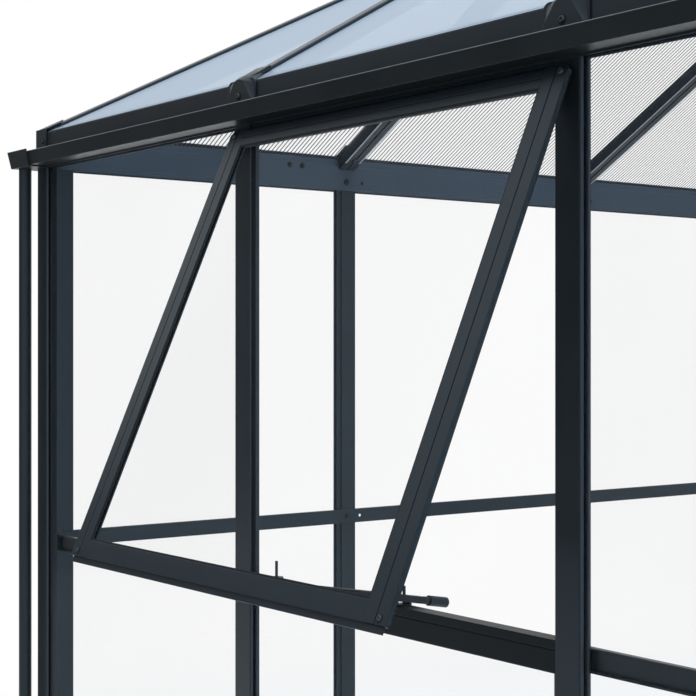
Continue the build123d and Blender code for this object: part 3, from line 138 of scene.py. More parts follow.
world = bpy.data.worlds.new("studio")
bpy.context.scene.world = world
world.use_nodes = True
tree = world.node_tree
tree.nodes.clear()
way = put(tree, "ShaderNodeTexCoord")
side = put(tree, "ShaderNodeVectorMath", operation="DOT_PRODUCT")
side.inputs[1].default_value = SKY_SIDE
level = put(tree, "ShaderNodeMapRange", interpolation_type="SMOOTHSTEP")
level.inputs["From Min"].default_value = SKY_FADE_FROM
level.inputs["To Min"].default_value = SKY_DIM
level.inputs["To Max"].default_value = SKY_BRIGHT
sky = put(tree, "ShaderNodeBackground", Color=SKY_COLOUR)
white = put(tree, "ShaderNodeBackground", Color=(1, 1, 1, 1), Strength=1.0)
mix = put(tree, "ShaderNodeMixShader")
out = put(tree, "ShaderNodeOutputWorld")
wire(tree, way.outputs["Generated"], side.inputs[0])
wire(tree, side.outputs["Value"], level.inputs["Value"])
wire(tree, level.outputs["Result"], sky.inputs["Strength"])
wire(tree, seen_ray(tree), mix.inputs[0])
wire(tree, sky.outputs[0], mix.inputs[1])
wire(tree, white.outputs[0], mix.inputs[2])
wire(tree, mix.outputs[0], out.inputs["Surface"])
print("world: white seen, sky light", SKY_DIM, "to", SKY_BRIGHT)

# %% Floor
FLOOR_RADIUS = 40.0
FLOOR_LIT = (0.35, 0.35, 0.35, 1)
FLOOR_SEEN = (0.25, 0.25, 0.25, 1)
FLOOR_GLOW = 0.75
FADE_FROM = 2.6
FADE_TO = 5.0
bm = bmesh.new()
bmesh.ops.create_circle(bm, cap_ends=True, radius=FLOOR_RADIUS, segments=64)
floor_mesh = bpy.data.meshes.new("floor")
bm.to_mesh(floor_mesh)
bm.free()
floor = bpy.data.objects.new("floor", floor_mesh)
bpy.context.scene.collection.objects.link(floor)

floor_paint = bpy.data.materials.new("floor_paint")
tree = new_tree(floor_paint)
paint = put(tree, "ShaderNodeBsdfDiffuse", Color=FLOOR_LIT)
thin_paint = put(tree, "ShaderNodeBsdfDiffuse", Color=FLOOR_SEEN)
glow = put(tree, "ShaderNodeEmission", Strength=FLOOR_GLOW)
near = put(tree, "ShaderNodeAddShader")
far = put(tree, "ShaderNodeEmission", Strength=1.0)
place = put(tree, "ShaderNodeTexCoord")
reach = put(tree, "ShaderNodeVectorMath", operation="LENGTH")
fade = put(tree, "ShaderNodeMapRange", interpolation_type="SMOOTHSTEP")
fade.inputs["From Min"].default_value = FADE_FROM
fade.inputs["From Max"].default_value = FADE_TO
shown = put(tree, "ShaderNodeMixShader")
mix = put(tree, "ShaderNodeMixShader")
out = put(tree, "ShaderNodeOutputMaterial")
wire(tree, place.outputs["Object"], reach.inputs[0])
wire(tree, reach.outputs["Value"], fade.inputs["Value"])
wire(tree, thin_paint.outputs[0], near.inputs[0])
wire(tree, glow.outputs[0], near.inputs[1])
wire(tree, fade.outputs["Result"], shown.inputs[0])
wire(tree, near.outputs[0], shown.inputs[1])
wire(tree, far.outputs[0], shown.inputs[2])
wire(tree, seen_ray(tree), mix.inputs[0])
wire(tree, paint.outputs[0], mix.inputs[1])
wire(tree, shown.outputs[0], mix.inputs[2])
wire(tree, mix.outputs[0], out.inputs["Surface"])
floor_mesh.materials.append(floor_paint)
print("floor radius", FLOOR_RADIUS)

# %% [markdown]
# ## Lamps
# One soft box hangs high over the roof. A low one stands on the right and shines in below the eave, and the
# cool sky is bright on that side too. The window wall turns away from both and stays nearly black, while
# every bar that faces right gets a bluish sheen.

# %% Lamps
def softbox(name, place, aim, width, height, power, colour):
    """A rectangular area lamp that looks from place towards aim."""
    data = bpy.data.lights.new(name, "AREA")
    data.shape = "RECTANGLE"
    data.size = width
    data.size_y = height
    data.energy = power
    data.color = colour
    lamp = bpy.data.objects.new(name, data)
    lamp.location = place
    lamp.rotation_euler = (Vector(aim) - Vector(place)).to_track_quat("-Z", "Y").to_euler()
    lamp.visible_glossy = False
    bpy.context.scene.collection.objects.link(lamp)
    return lamp


softbox("lamp_over", (0.5, -1.2, 8.0), (0, -0.2, 1.8), 5.0, 5.0, 740, (0.93, 0.97, 1.0))
softbox("lamp_right", (5.5, 1.2, 0.8), (-1.1, 0.0, 1.5), 5.0, 1.4, 180, (0.72, 0.88, 1.0))

# %% [markdown]
# ## Dark flag
# Satin paint also mirrors the room. Photographers stand a black card, called a flag, where a dark face
# would mirror white. This one stands front left, out of sight of the camera, and keeps the window wall dark.

# %% Flag
FLAG_PLACE = Vector((-5.5, -6.5, 1.5))
FLAG_AIM = Vector((0, -1.5, 1.5))
FLAG_WIDE = 9.0
FLAG_HIGH = 4.0
bm = bmesh.new()
bmesh.ops.create_grid(bm, x_segments=1, y_segments=1, size=0.5)
bmesh.ops.scale(bm, vec=(FLAG_WIDE, FLAG_HIGH, 1), verts=bm.verts)
turn = (FLAG_AIM - FLAG_PLACE).to_track_quat("Z", "Y").to_matrix().to_4x4()
bmesh.ops.transform(bm, matrix=Matrix.Translation(FLAG_PLACE) @ turn, verts=bm.verts)
flag_mesh = bpy.data.meshes.new("flag")
bm.to_mesh(flag_mesh)
bm.free()
flag = bpy.data.objects.new("flag", flag_mesh)
bpy.context.scene.collection.objects.link(flag)
flag.visible_camera = False
flag_cloth = bpy.data.materials.new("flag_cloth")
tree = new_tree(flag_cloth)
cloth = put(tree, "ShaderNodeBsdfDiffuse", Color=(0.01, 0.01, 0.01, 1))
out = put(tree, "ShaderNodeOutputMaterial")
wire(tree, cloth.outputs[0], out.inputs["Surface"])
flag_mesh.materials.append(flag_cloth)
print("flag", FLAG_WIDE, "by", FLAG_HIGH, "m")

# %% [markdown]
# ## Finishes
# Powder coat is a satin paint baked on the aluminium: almost black, a little blue, and never quite even.
# The unevenness is a shared node group of a broad cloud and a fine grain, because gutter, frame and plastic
# all use it with other values.

# %% Coat group
def make_coat_noise():
    """A soft cloud with a fine grain on Object coordinates: a shade factor and a bump normal."""
    group = bpy.data.node_groups.new("coat_noise", "ShaderNodeTree")
    group.interface.new_socket("Scale", in_out="INPUT", socket_type="NodeSocketFloat")
    group.interface.new_socket("Bump", in_out="INPUT", socket_type="NodeSocketFloat")
    group.interface.new_socket("Factor", in_out="OUTPUT", socket_type="NodeSocketFloat")
    group.interface.new_socket("Normal", in_out="OUTPUT", socket_type="NodeSocketVector")
    inside = put(group, "NodeGroupInput")
    outside = put(group, "NodeGroupOutput")
    place = put(group, "ShaderNodeTexCoord")
    cloud = put(group, "ShaderNodeTexNoise", Detail=2.0, Roughness=0.5)
    grain = put(group, "ShaderNodeTexNoise", Scale=500.0, Detail=1.0)
    bump = put(group, "ShaderNodeBump", Distance=0.0002)
    edge = put(group, "ShaderNodeBevel", samples=4, Radius=0.0015)
    wire(group, place.outputs["Object"], cloud.inputs["Vector"])
    wire(group, inside.outputs["Scale"], cloud.inputs["Scale"])
    wire(group, place.outputs["Object"], grain.inputs["Vector"])
    wire(group, grain.outputs["Fac"], bump.inputs["Height"])
    wire(group, edge.outputs["Normal"], bump.inputs["Normal"])
    wire(group, inside.outputs["Bump"], bump.inputs["Strength"])
    wire(group, cloud.outputs["Fac"], outside.inputs["Factor"])
    wire(group, bump.outputs["Normal"], outside.inputs["Normal"])
    return group


coat_noise = make_coat_noise()
print("group:", coat_noise.name)

# %% Coated metal and plastic
COAT_SHINE = 0.38
SHEEN_TINT = (0.62, 0.83, 1.0, 1)


def coated(name, dark, light, roughness, cloud_scale, grain_bump, metallic=0.0, shine=COAT_SHINE):
    """A satin surface whose colour drifts between two close shades."""
    material = bpy.data.materials.new(name)
    tree = new_tree(material)
    surface = put(tree, "ShaderNodeBsdfPrincipled", Metallic=metallic, Specular_IOR_Level=shine)
    surface.inputs["Specular Tint"].default_value = SHEEN_TINT
    out = put(tree, "ShaderNodeOutputMaterial")
    fine = put(tree, "ShaderNodeGroup", node_tree=coat_noise)
    fine.inputs["Scale"].default_value = cloud_scale
    fine.inputs["Bump"].default_value = grain_bump
    shade = put(tree, "ShaderNodeMix", data_type="RGBA")
    shade.inputs["A"].default_value = (*dark, 1)
    shade.inputs["B"].default_value = (*light, 1)
    rough = put(tree, "ShaderNodeMapRange")
    rough.inputs["To Min"].default_value = roughness - 0.05
    rough.inputs["To Max"].default_value = roughness + 0.05
    wire(tree, fine.outputs["Factor"], shade.inputs["Factor"])
    wire(tree, shade.outputs["Result"], surface.inputs["Base Color"])
    wire(tree, fine.outputs["Factor"], rough.inputs["Value"])
    wire(tree, rough.outputs["Result"], surface.inputs["Roughness"])
    wire(tree, fine.outputs["Normal"], surface.inputs["Normal"])
    wire(tree, surface.outputs[0], out.inputs["Surface"])
    return material


frame_coat = coated("frame_coat", (0.017, 0.022, 0.027), (0.022, 0.028, 0.035), 0.36, 14, 0.03)
gutter_coat = coated("gutter_coat", (0.014, 0.017, 0.018), (0.018, 0.021, 0.023), 0.40, 14, 0.03)
cap_plastic = coated("cap_plastic", (0.014, 0.018, 0.021), (0.018, 0.022, 0.026), 0.42, 30, 0.06)
dark_steel = coated("dark_steel", (0.020, 0.023, 0.027), (0.030, 0.034, 0.039), 0.35, 40, 0.04, 0.5)
trim_metal = coated("trim_metal", (0.16, 0.20, 0.25), (0.22, 0.26, 0.31), 0.35, 20, 0.04, 0.4)
handle_coat = coated("handle_coat", (0.014, 0.017, 0.020), (0.020, 0.024, 0.028), 0.35, 40, 0.04)
# Painted shade and sheen: the sash paint is darker and bluer than the frame's, for how the light falls on the
# open sash.
sash_painted_shade_sheen = coated("sash_painted_shade_sheen", (0.012, 0.018, 0.024), (0.015, 0.022, 0.029), 0.36, 14, 0.03, shine=0.30)
# Painted shade: the sill paint is darker than the frame's, to keep its top from looking lit.
sill_painted_shade = coated("sill_painted_shade", (0.008, 0.010, 0.011), (0.011, 0.013, 0.015), 0.42, 14, 0.03, shine=0.16)
# Painted light: the beams seen from inside get a paler, bluer paint for the light the bright roof throws on
# them.
beam_painted_light = coated("beam_painted_light", (0.042, 0.057, 0.077), (0.050, 0.067, 0.090), 0.36, 14, 0.03)
black_rubber = coated("black_rubber", (0.006, 0.007, 0.008), (0.009, 0.010, 0.011), 0.65, 60, 0.05)
# Painted sheen: the wall rubber is a light blue-grey for the lit strip beside the posts.
rubber_painted_sheen = coated("rubber_painted_sheen", (0.042, 0.053, 0.068), (0.052, 0.065, 0.083), 0.60, 60, 0.05)
# Painted highlight: a near-white paint for the light lines along the rafters' edges.
highlight_paint = coated("highlight_paint", (0.62, 0.64, 0.66), (0.74, 0.76, 0.78), 0.55, 60, 0.05)
print("coats made")

# %% [markdown]
# ## Panes
# A clear pane hides almost nothing of what is behind it: it only takes a little light away and lays a thin
# bluish veil over the bars. A Principled surface with a very low Alpha does that without bending the light
# through two faces, and it still exports.

# %% Clear pane
VEIL_SPREAD = 1.15


def clear_pane(name, veil, thin, thick):
    """A veil colour whose Alpha drifts between two low values, as on a pane that was wiped."""
    material = bpy.data.materials.new(name)
    tree = new_tree(material)
    place = put(tree, "ShaderNodeTexCoord")
    cloud = put(tree, "ShaderNodeTexNoise", Scale=2.5, Detail=1.0)
    shade = put(tree, "ShaderNodeMix", data_type="RGBA")
    shade.inputs["A"].default_value = (*veil, 1)
    shade.inputs["B"].default_value = (*[v * VEIL_SPREAD for v in veil], 1)
    film = put(tree, "ShaderNodeMapRange")
    film.inputs["To Min"].default_value = thin
    film.inputs["To Max"].default_value = thick
    surface = put(tree, "ShaderNodeBsdfPrincipled", Roughness=0.05)
    out = put(tree, "ShaderNodeOutputMaterial")
    wire(tree, place.outputs["Object"], cloud.inputs["Vector"])
    wire(tree, cloud.outputs["Fac"], shade.inputs["Factor"])
    wire(tree, cloud.outputs["Fac"], film.inputs["Value"])
    wire(tree, shade.outputs["Result"], surface.inputs["Base Color"])
    wire(tree, film.outputs["Result"], surface.inputs["Alpha"])
    wire(tree, surface.outputs[0], out.inputs["Surface"])
    return material


wall_glass = clear_pane("wall_glass", (0.17, 0.20, 0.22), 0.018, 0.034)
sash_glass = clear_pane("sash_glass", (0.20, 0.23, 0.26), 0.012, 0.025)
print("panes made")

# %% [markdown]
# ## Roof sheet
# Twin-wall sheet is two clear skins with a web between them every 10 mm. Seen from below, the sky shows white
# between the webs, and the webs are dark lines that run up the slope. Seen from above, the outer skin mirrors
# the sky: that blue-grey reflection is painted into the colour of the faces that look up. So the sheet is a
# surface with an Alpha of its own for each side: the face that looks down is clear except on the lines, the
# one that looks up is nearly solid, and a face that is met from behind lets nearly everything through.

# %% Twin-wall sheet
RIB_PITCH = 0.010
WEB_SHADE = (0.012, 0.014, 0.016, 1)
SKIN_BELOW = (0.90, 0.92, 0.94, 1)
# Painted reflection: the faces that look up take a blue-grey for the sky they mirror, a little darker on the
# webs.
PAINTED_SKY_SKIN = (0.245, 0.310, 0.390, 1)
PAINTED_SKY_WEBS = (0.215, 0.272, 0.342, 1)
WEB_CORE = 0.115
WEB_EDGE = 0.165
ALPHA_BELOW = (0.08, 0.97)
ALPHA_ABOVE = (0.90, 0.95)
ALPHA_BEHIND = 0.05


def rib_lines(tree, axis):
    """1 on a web and 0 between two webs; axis is the one that runs along the eave."""
    place = put(tree, "ShaderNodeTexCoord")
    split = put(tree, "ShaderNodeSeparateXYZ")
    turns = put(tree, "ShaderNodeMath", operation="MULTIPLY")
    turns.inputs[1].default_value = 1 / RIB_PITCH
    wave = put(tree, "ShaderNodeMath", operation="PINGPONG")
    wave.inputs[1].default_value = 0.5
    line = put(tree, "ShaderNodeMapRange", interpolation_type="SMOOTHSTEP")
    line.inputs["From Min"].default_value = WEB_CORE
    line.inputs["From Max"].default_value = WEB_EDGE
    line.inputs["To Min"].default_value = 1.0
    line.inputs["To Max"].default_value = 0.0
    wire(tree, place.outputs["Object"], split.inputs[0])
    wire(tree, split.outputs[axis], turns.inputs[0])
    wire(tree, turns.outputs[0], wave.inputs[0])
    wire(tree, wave.outputs[0], line.inputs["Value"])
    return line.outputs["Result"]


def looks_up(tree):
    """1 on faces that look up, 0 on those that look down."""
    place = put(tree, "ShaderNodeTexCoord")
    split = put(tree, "ShaderNodeSeparateXYZ")
    up = put(tree, "ShaderNodeMath", operation="GREATER_THAN")
    up.inputs[1].default_value = 0.0
    wire(tree, place.outputs["Normal"], split.inputs[0])
    wire(tree, split.outputs["Z"], up.inputs[0])
    return up.outputs[0]


def two_shades(tree, factor, first, second):
    mix = put(tree, "ShaderNodeMix", data_type="RGBA")
    mix.inputs["A"].default_value = first
    mix.inputs["B"].default_value = second
    wire(tree, factor, mix.inputs["Factor"])
    return mix.outputs["Result"]


def span(tree, factor, first, second):
    """A value that runs from first to second as the factor runs from 0 to 1."""
    spread = put(tree, "ShaderNodeMapRange")
    spread.inputs["To Min"].default_value = first
    spread.inputs["To Max"].default_value = second
    wire(tree, factor, spread.inputs["Value"])
    return spread.outputs["Result"]


def twin_wall(name, axis):
    material = bpy.data.materials.new(name)
    tree = new_tree(material)
    lines = rib_lines(tree, axis)
    up = looks_up(tree)
    shade = put(tree, "ShaderNodeMix", data_type="RGBA")
    wire(tree, up, shade.inputs["Factor"])
    wire(tree, two_shades(tree, lines, SKIN_BELOW, WEB_SHADE), shade.inputs["A"])
    wire(tree, two_shades(tree, lines, PAINTED_SKY_SKIN, PAINTED_SKY_WEBS), shade.inputs["B"])
    solid = put(tree, "ShaderNodeMix", data_type="FLOAT")
    wire(tree, up, solid.inputs["Factor"])
    wire(tree, span(tree, lines, *ALPHA_BELOW), solid.inputs["A"])
    wire(tree, span(tree, lines, *ALPHA_ABOVE), solid.inputs["B"])
    face = put(tree, "ShaderNodeNewGeometry")
    shown = put(tree, "ShaderNodeMath", operation="MULTIPLY")
    wire(tree, solid.outputs["Result"], shown.inputs[0])
    wire(tree, span(tree, face.outputs["Backfacing"], 1.0, ALPHA_BEHIND), shown.inputs[1])
    surface = put(tree, "ShaderNodeBsdfPrincipled", Roughness=0.35, Specular_IOR_Level=0.3)
    out = put(tree, "ShaderNodeOutputMaterial")
    wire(tree, shade.outputs["Result"], surface.inputs["Base Color"])
    wire(tree, shown.outputs[0], surface.inputs["Alpha"])
    wire(tree, surface.outputs[0], out.inputs["Surface"])
    return material


sheet_end = twin_wall("sheet_end_slopes", "X")
sheet_side = twin_wall("sheet_side_slopes", "Y")
print("roof sheets: ribs every", RIB_PITCH, "m")

# %% [markdown]
# ## Which finish goes where
# Each node of the model names a kind of material, its slot, and most nodes take the finish of their slot. A
# few have one of their own. Inside, the picture shows the eave beams lighter than the lamps here make them,
# lit by the bright roof, so the three beams that are seen from inside get a paler, bluer paint: painted
# light.
# The sash gets a darker, bluer paint, a painted shade and sheen, and the sill a darker one, a painted shade;
# both are duller.

# %% Finish of every node
BY_SLOT = {
    "frame": frame_coat,
    "gutter": gutter_coat,
    "plastic": cap_plastic,
    "pane": wall_glass,
    "trim": trim_metal,
    "steel": dark_steel,
    "handle": handle_coat,
}
slot_of = {part["node"]: part["material_slot"] for part in frame["record"]["subparts"]}


BY_NAME = {
    "sash_pane": sash_glass,
    "sash_stile_left": sash_painted_shade_sheen,
    "sash_stile_right": sash_painted_shade_sheen,
    "sash_top_rail": sash_painted_shade_sheen,
    "sash_bottom_rail": sash_painted_shade_sheen,
    "window_sill": sill_painted_shade,
    "eave_beam_right": beam_painted_light,
    "eave_beam_back": beam_painted_light,
    "eave_beam_left": beam_painted_light,
}


def finish_of(name):
    if name in BY_NAME:
        return BY_NAME[name]
    if slot_of[name] == "roof":
        return sheet_end if name.endswith(("front", "back")) else sheet_side
    return BY_SLOT[slot_of[name]]


for name, node in nodes.items():
    node.data.materials.clear()
    node.data.materials.append(finish_of(name))
print("finishes on", len(nodes), "nodes")

# %% [markdown]
# ## Screws
# The bars are held by pan-head screws in a dark finish. One screw is a short cone with a socket sunk in its
# head, on a thin black washer. It is modelled once, and every spot gets a copy that is turned to the face it
# sits on. The copies of one body are one object, so they move together.

# %% One screw
SCREW_SIDES = 12
HEAD_HEIGHT = 0.5
HEAD_TOP = 0.8
SOCKET_WIDE = 0.45
SOCKET_TAPER = 0.02
SOCKET_DEEP = 0.35
WASHER_WIDE = 1.4
WASHER_HEIGHT = 0.12


def model_screw():
    """A washer and a head of radius 1 on the XY plane; the head has a sunk socket."""
    bm = bmesh.new()
    lift = Matrix.Translation((0, 0, WASHER_HEIGHT / 2))
    bmesh.ops.create_cone(
        bm, cap_ends=True, segments=SCREW_SIDES, radius1=WASHER_WIDE, radius2=WASHER_WIDE,
        depth=WASHER_HEIGHT, matrix=lift,
    )
    for face in bm.faces:
        face.material_index = 1
    lift = Matrix.Translation((0, 0, HEAD_HEIGHT / 2))
    bmesh.ops.create_cone(
        bm, cap_ends=True, segments=SCREW_SIDES, radius1=1.0, radius2=HEAD_TOP, depth=HEAD_HEIGHT,
        matrix=lift,
    )
    top = max(bm.faces, key=lambda face: face.calc_center_median().z)
    bmesh.ops.inset_individual(bm, faces=[top], thickness=HEAD_TOP - SOCKET_WIDE)
    bmesh.ops.inset_individual(bm, faces=[top], thickness=SOCKET_TAPER, depth=-SOCKET_DEEP)
    mesh = bpy.data.meshes.new("screw_head")
    bm.to_mesh(mesh)
    bm.free()
    return mesh


screw_head = model_screw()
screw_steel = coated("screw_steel", (0.050, 0.058, 0.068), (0.070, 0.080, 0.092), 0.35, 40, 0.04, 0.5)
print("screw:", len(screw_head.polygons), "faces")

# %% Making a piece of many copies
def add_piece(name, body, materials, bm):
    """Turns a bmesh into an object that rides on a body."""
    bmesh.ops.recalc_face_normals(bm, faces=bm.faces)
    mesh = bpy.data.meshes.new(name)
    bm.to_mesh(mesh)
    bm.free()
    for material in materials:
        mesh.materials.append(material)
    piece = bpy.data.objects.new(name, mesh)
    bpy.context.scene.collection.objects.link(piece)
    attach(piece, body)
    print(name, len(mesh.polygons), "faces on", body)


def set_screws(name, body, spots, head=screw_steel):
    """spots: place, the way the head looks, and its radius."""
    bm = bmesh.new()
    for place, way, radius in spots:
        before = set(bm.verts)
        bm.from_mesh(screw_head)
        turn = Vector(way).to_track_quat("Z", "Y").to_matrix().to_4x4()
        matrix = Matrix.Translation(place) @ turn @ Matrix.Scale(radius, 4)
        bmesh.ops.transform(bm, matrix=matrix, verts=[v for v in bm.verts if v not in before])
    add_piece(name, body, (head, black_rubber), bm)


# %% [markdown]
# ## Where things sit
# The four walls share one layout: posts every 0.74 m with the eave beam on top. A wall is the way along it,
# the way out of it, half its length, how far it stands from the middle and its number of bays, so that one
# rule serves all four. q is the depth into the wall from its outer face.

# %% Walls
UP = Vector((0, 0, 1))
HALF_X, HALF_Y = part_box("corner_posts")[1][:2]
BAY = 0.74
CORNER_INSET = 0.017
BEAM_Q = 0.017
RAIL_Q = 0.019
BEAM_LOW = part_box("eave_beam_left")[0][2]
BEAM_H = 0.069
EAVE_TOP = BEAM_LOW + BEAM_H
RAIL_MIDDLE = (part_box("mid_rail_left")[0][2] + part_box("mid_rail_left")[1][2]) / 2
WALLS = {
    "front": (Vector((1, 0, 0)), Vector((0, -1, 0)), HALF_X, HALF_Y, 3),
    "right": (Vector((0, 1, 0)), Vector((1, 0, 0)), HALF_Y, HALF_X, 4),
    "back": (Vector((-1, 0, 0)), Vector((0, 1, 0)), HALF_X, HALF_Y, 3),
    "left": (Vector((0, -1, 0)), Vector((-1, 0, 0)), HALF_Y, HALF_X, 4),
}


def on_wall(name, u, q, z):
    along, out, half, reach, bays = WALLS[name]
    return along * u + out * (reach - q) + UP * z


def post_lines(name):
    half, bays = WALLS[name][2], WALLS[name][4]
    return [-half + CORNER_INSET + k * BAY for k in range(1, bays)]


# %% Screws of the walls
BEAM_SCREW_UP = 0.020
BESIDE_POST = 0.045
SPLICE_UP = 0.050
SPLICE = (0.123, 0.157)
CORNER_SCREW_IN = 0.059
BEAM_SCREW_R = 0.0050
SMALL_SCREW_R = 0.0028
RAIL_SCREW_R = 0.0045
SPLICE_SCREW_R = 0.0045
wall_spots = []
for name, (along, out, half, reach, bays) in WALLS.items():
    low = BEAM_LOW + BEAM_SCREW_UP
    for u in post_lines(name):
        wall_spots.append((on_wall(name, u, BEAM_Q, low), -out, BEAM_SCREW_R))
        wall_spots.append((on_wall(name, u - BESIDE_POST, BEAM_Q, low), -out, SMALL_SCREW_R))
        if name in ("left", "back"):
            wall_spots.append((on_wall(name, u, RAIL_Q, RAIL_MIDDLE), -out, RAIL_SCREW_R))
    for u in (-half + CORNER_SCREW_IN, half - CORNER_SCREW_IN):
        wall_spots.append((on_wall(name, u, BEAM_Q, low), -out, BEAM_SCREW_R))
    if bays == 4:
        for step in SPLICE:
            u = post_lines(name)[-1] + step
            place = on_wall(name, u, BEAM_Q, BEAM_LOW + SPLICE_UP)
            wall_spots.append((place, -out, SPLICE_SCREW_R))
set_screws("wall_screws", "house", wall_spots, head=dark_steel)

# %% [markdown]
# ## Screws of the caps and clips
# Each moulded cap is held by one screw in the middle of its hood, low down where the gutter nearly hides it.
# The corner caps and the pipe clips have one on each leg.

# %% Screws of the caps and clips
HOOD_Q = -0.009
HOOD_SCREW_DROP = 0.021
HOOD_SCREW_R = 0.0050
CORNER_CAP_Q = -0.0025
CORNER_SCREW_SIDE = 0.027
CORNER_SCREW_DROP = 0.017
CORNER_SCREW_R = 0.0035
CLIP_Q = -0.002
CLIP_SCREW_SIDE = 0.016
CLIP_SCREW_R = 0.0028
CLIP_MIDDLE = (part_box("downpipe_clips")[0][2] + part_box("downpipe_clips")[1][2]) / 2
PIPE_ENDS = {"front": -1, "left": 1, "right": 1, "back": -1}
cap_spots = []
for name, (along, out, half, reach, bays) in WALLS.items():
    for u in post_lines(name):
        cap_spots.append((on_wall(name, u, HOOD_Q, EAVE_TOP - HOOD_SCREW_DROP), out, HOOD_SCREW_R))
    for side in (-1, 1):
        u = side * (half - CORNER_SCREW_SIDE)
        place = on_wall(name, u, CORNER_CAP_Q, EAVE_TOP - CORNER_SCREW_DROP)
        cap_spots.append((place, out, CORNER_SCREW_R))
    clip_u = PIPE_ENDS[name] * (half - CLIP_SCREW_SIDE)
    cap_spots.append((on_wall(name, clip_u, CLIP_Q, CLIP_MIDDLE), out, CLIP_SCREW_R))
set_screws("cap_screws", "house", cap_spots)

# %% [markdown]
# ## Rafters: foot screws and painted edge highlights
# Under each rafter a thin pale strip runs along both edges: a painted highlight for the white line that the
# bar's edges catch against its dark faces. It is a long bar, set on the sloping face, so it is made in the
# slope's own directions: along the eave, up the slope and square to it. Near a corner the rafter stops at the
# hip, and so does the strip.

# %% Bars in any direction
def add_bar(bm, middle, axes, sizes):
    """A box with its sides along three directions."""
    turn = Matrix([axis.normalized() for axis in axes]).transposed().to_4x4()
    spread = Matrix.Diagonal((*sizes, 1))
    bmesh.ops.create_cube(bm, size=1.0, matrix=Matrix.Translation(middle) @ turn @ spread)


# %% Rafter edge highlights and foot screws
PITCH = radians(30)
SEAT_DROP = 0.008
SEAT_Z = EAVE_TOP - SEAT_DROP
RAFTER_W = 0.044
RAFTER_D = 0.020
HIGHLIGHT_W = 0.0035
HIGHLIGHT_T = 0.0012
HIGHLIGHT_IN = 0.0030
HIGHLIGHT_START = 0.030
HIP_CLEAR = 0.060
RIDGE_CLEAR = 0.030
FOOT_SCREW = 0.045
FOOT_SCREW_R = 0.0055

painted_highlights = bmesh.new()
foot_spots = []
for name, (along, out, half, reach, bays) in WALLS.items():
    rise = UP * sin(PITCH) - out * cos(PITCH)
    below = -(UP * cos(PITCH) + out * sin(PITCH))
    for u in post_lines(name):
        run = min(half - abs(u) - HIP_CLEAR, reach - RIDGE_CLEAR)
        foot = on_wall(name, u, 0, SEAT_Z) + below * RAFTER_D
        start, end = HIGHLIGHT_START / cos(PITCH), run / cos(PITCH)
        for side in (-1, 1):
            aside = along * side * (RAFTER_W / 2 - HIGHLIGHT_IN)
            middle = foot + aside + rise * (start + end) / 2
            add_bar(painted_highlights, middle, (along, rise, below), (HIGHLIGHT_W, end - start, HIGHLIGHT_T))
        foot_spots.append((foot + rise * FOOT_SCREW, below, FOOT_SCREW_R))
add_piece("rafter_painted_highlights", "house", [highlight_paint], painted_highlights)
set_screws("rafter_screws", "house", foot_spots)

# %% [markdown]
# ## Gaskets
# A pane in a metal slot sits in rubber, which shows as a thin line between glass and bar: black round the
# sash, and a light blue-grey on the walls, which is a painted sheen for the lit strip beside the posts. A
# pane's gasket is four bars along its sides. The panes of one wall differ only in the bay they fill and in
# their top, since the one below the window ends at the sill.

# %% Gaskets of the wall panes
GASKET_W = 0.0032
GASKET_T = 0.0022
POST_HALF = 0.0265
BASE_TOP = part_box("base_rails")[1][2]
SILL_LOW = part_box("window_sill")[0][2]


def pane_depth(name):
    """How deep the inner face of a wall's panes lies."""
    along, out, half, reach, bays = WALLS[name]
    low, high = (Vector(corner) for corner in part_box("panes_" + name))
    return reach - min(abs(low.dot(out)), abs(high.dot(out)))


def add_gasket(bm, middle, along, up, out, width, height):
    """Four bars inside the outline of a pane."""
    for side in (-1, 1):
        edge = middle + along * side * (width - GASKET_W) / 2
        add_bar(bm, edge, (along, up, out), (GASKET_W, height, GASKET_T))
        edge = middle + up * side * (height - GASKET_W) / 2
        add_bar(bm, edge, (along, up, out), (width - 2 * GASKET_W, GASKET_W, GASKET_T))


gaskets = bmesh.new()
for name, (along, out, half, reach, bays) in WALLS.items():
    lines = [-half + CORNER_INSET, *post_lines(name), half - CORNER_INSET]
    q = pane_depth(name) + GASKET_T / 2
    for k in range(bays):
        if name == "right" and k in (1, 2):
            continue
        top = SILL_LOW if name == "front" and k == 1 else BEAM_LOW
        middle = on_wall(name, (lines[k] + lines[k + 1]) / 2, q, (BASE_TOP + top) / 2)
        add_gasket(gaskets, middle, along, UP, out, BAY - 2 * POST_HALF, top - BASE_TOP)
add_piece("pane_gaskets", "house", [rubber_painted_sheen], gaskets)

# %% [markdown]
# ## Glazing beads
# On the outside a bead of the same rubber is pressed in between the pane and the edge of the post cover. Its
# corner is cut at a slant, and the slant catches the light as a lighter strip beside the posts; its blue-grey
# colour adds a painted sheen to that strip. A bar with one bevelled edge gives that shape.

# %% Glazing beads
BEAD_W = 0.0045
BEAD_T = 0.0028
BEAD_CUT = 0.0024
COVER_HALF = 0.021
CORNER_COVER = 0.038
PANE_FACE_Q = 0.00325


def add_bead(bm, middle, inwards, out, length):
    """A bar along the cover's edge with its outer corner cut; inwards points over the pane."""
    known = set(bm.edges)
    add_bar(bm, middle, (inwards, UP, out), (BEAD_W, length, BEAD_T))
    edges = [edge for edge in bm.edges if edge not in known]
    corner = max(edges, key=lambda edge: (edge.verts[0].co + edge.verts[1].co).dot(inwards + out))
    bmesh.ops.bevel(
        bm, geom=[corner], offset=BEAD_CUT, affect="EDGES", segments=1, profile=0.5, material=-1
    )


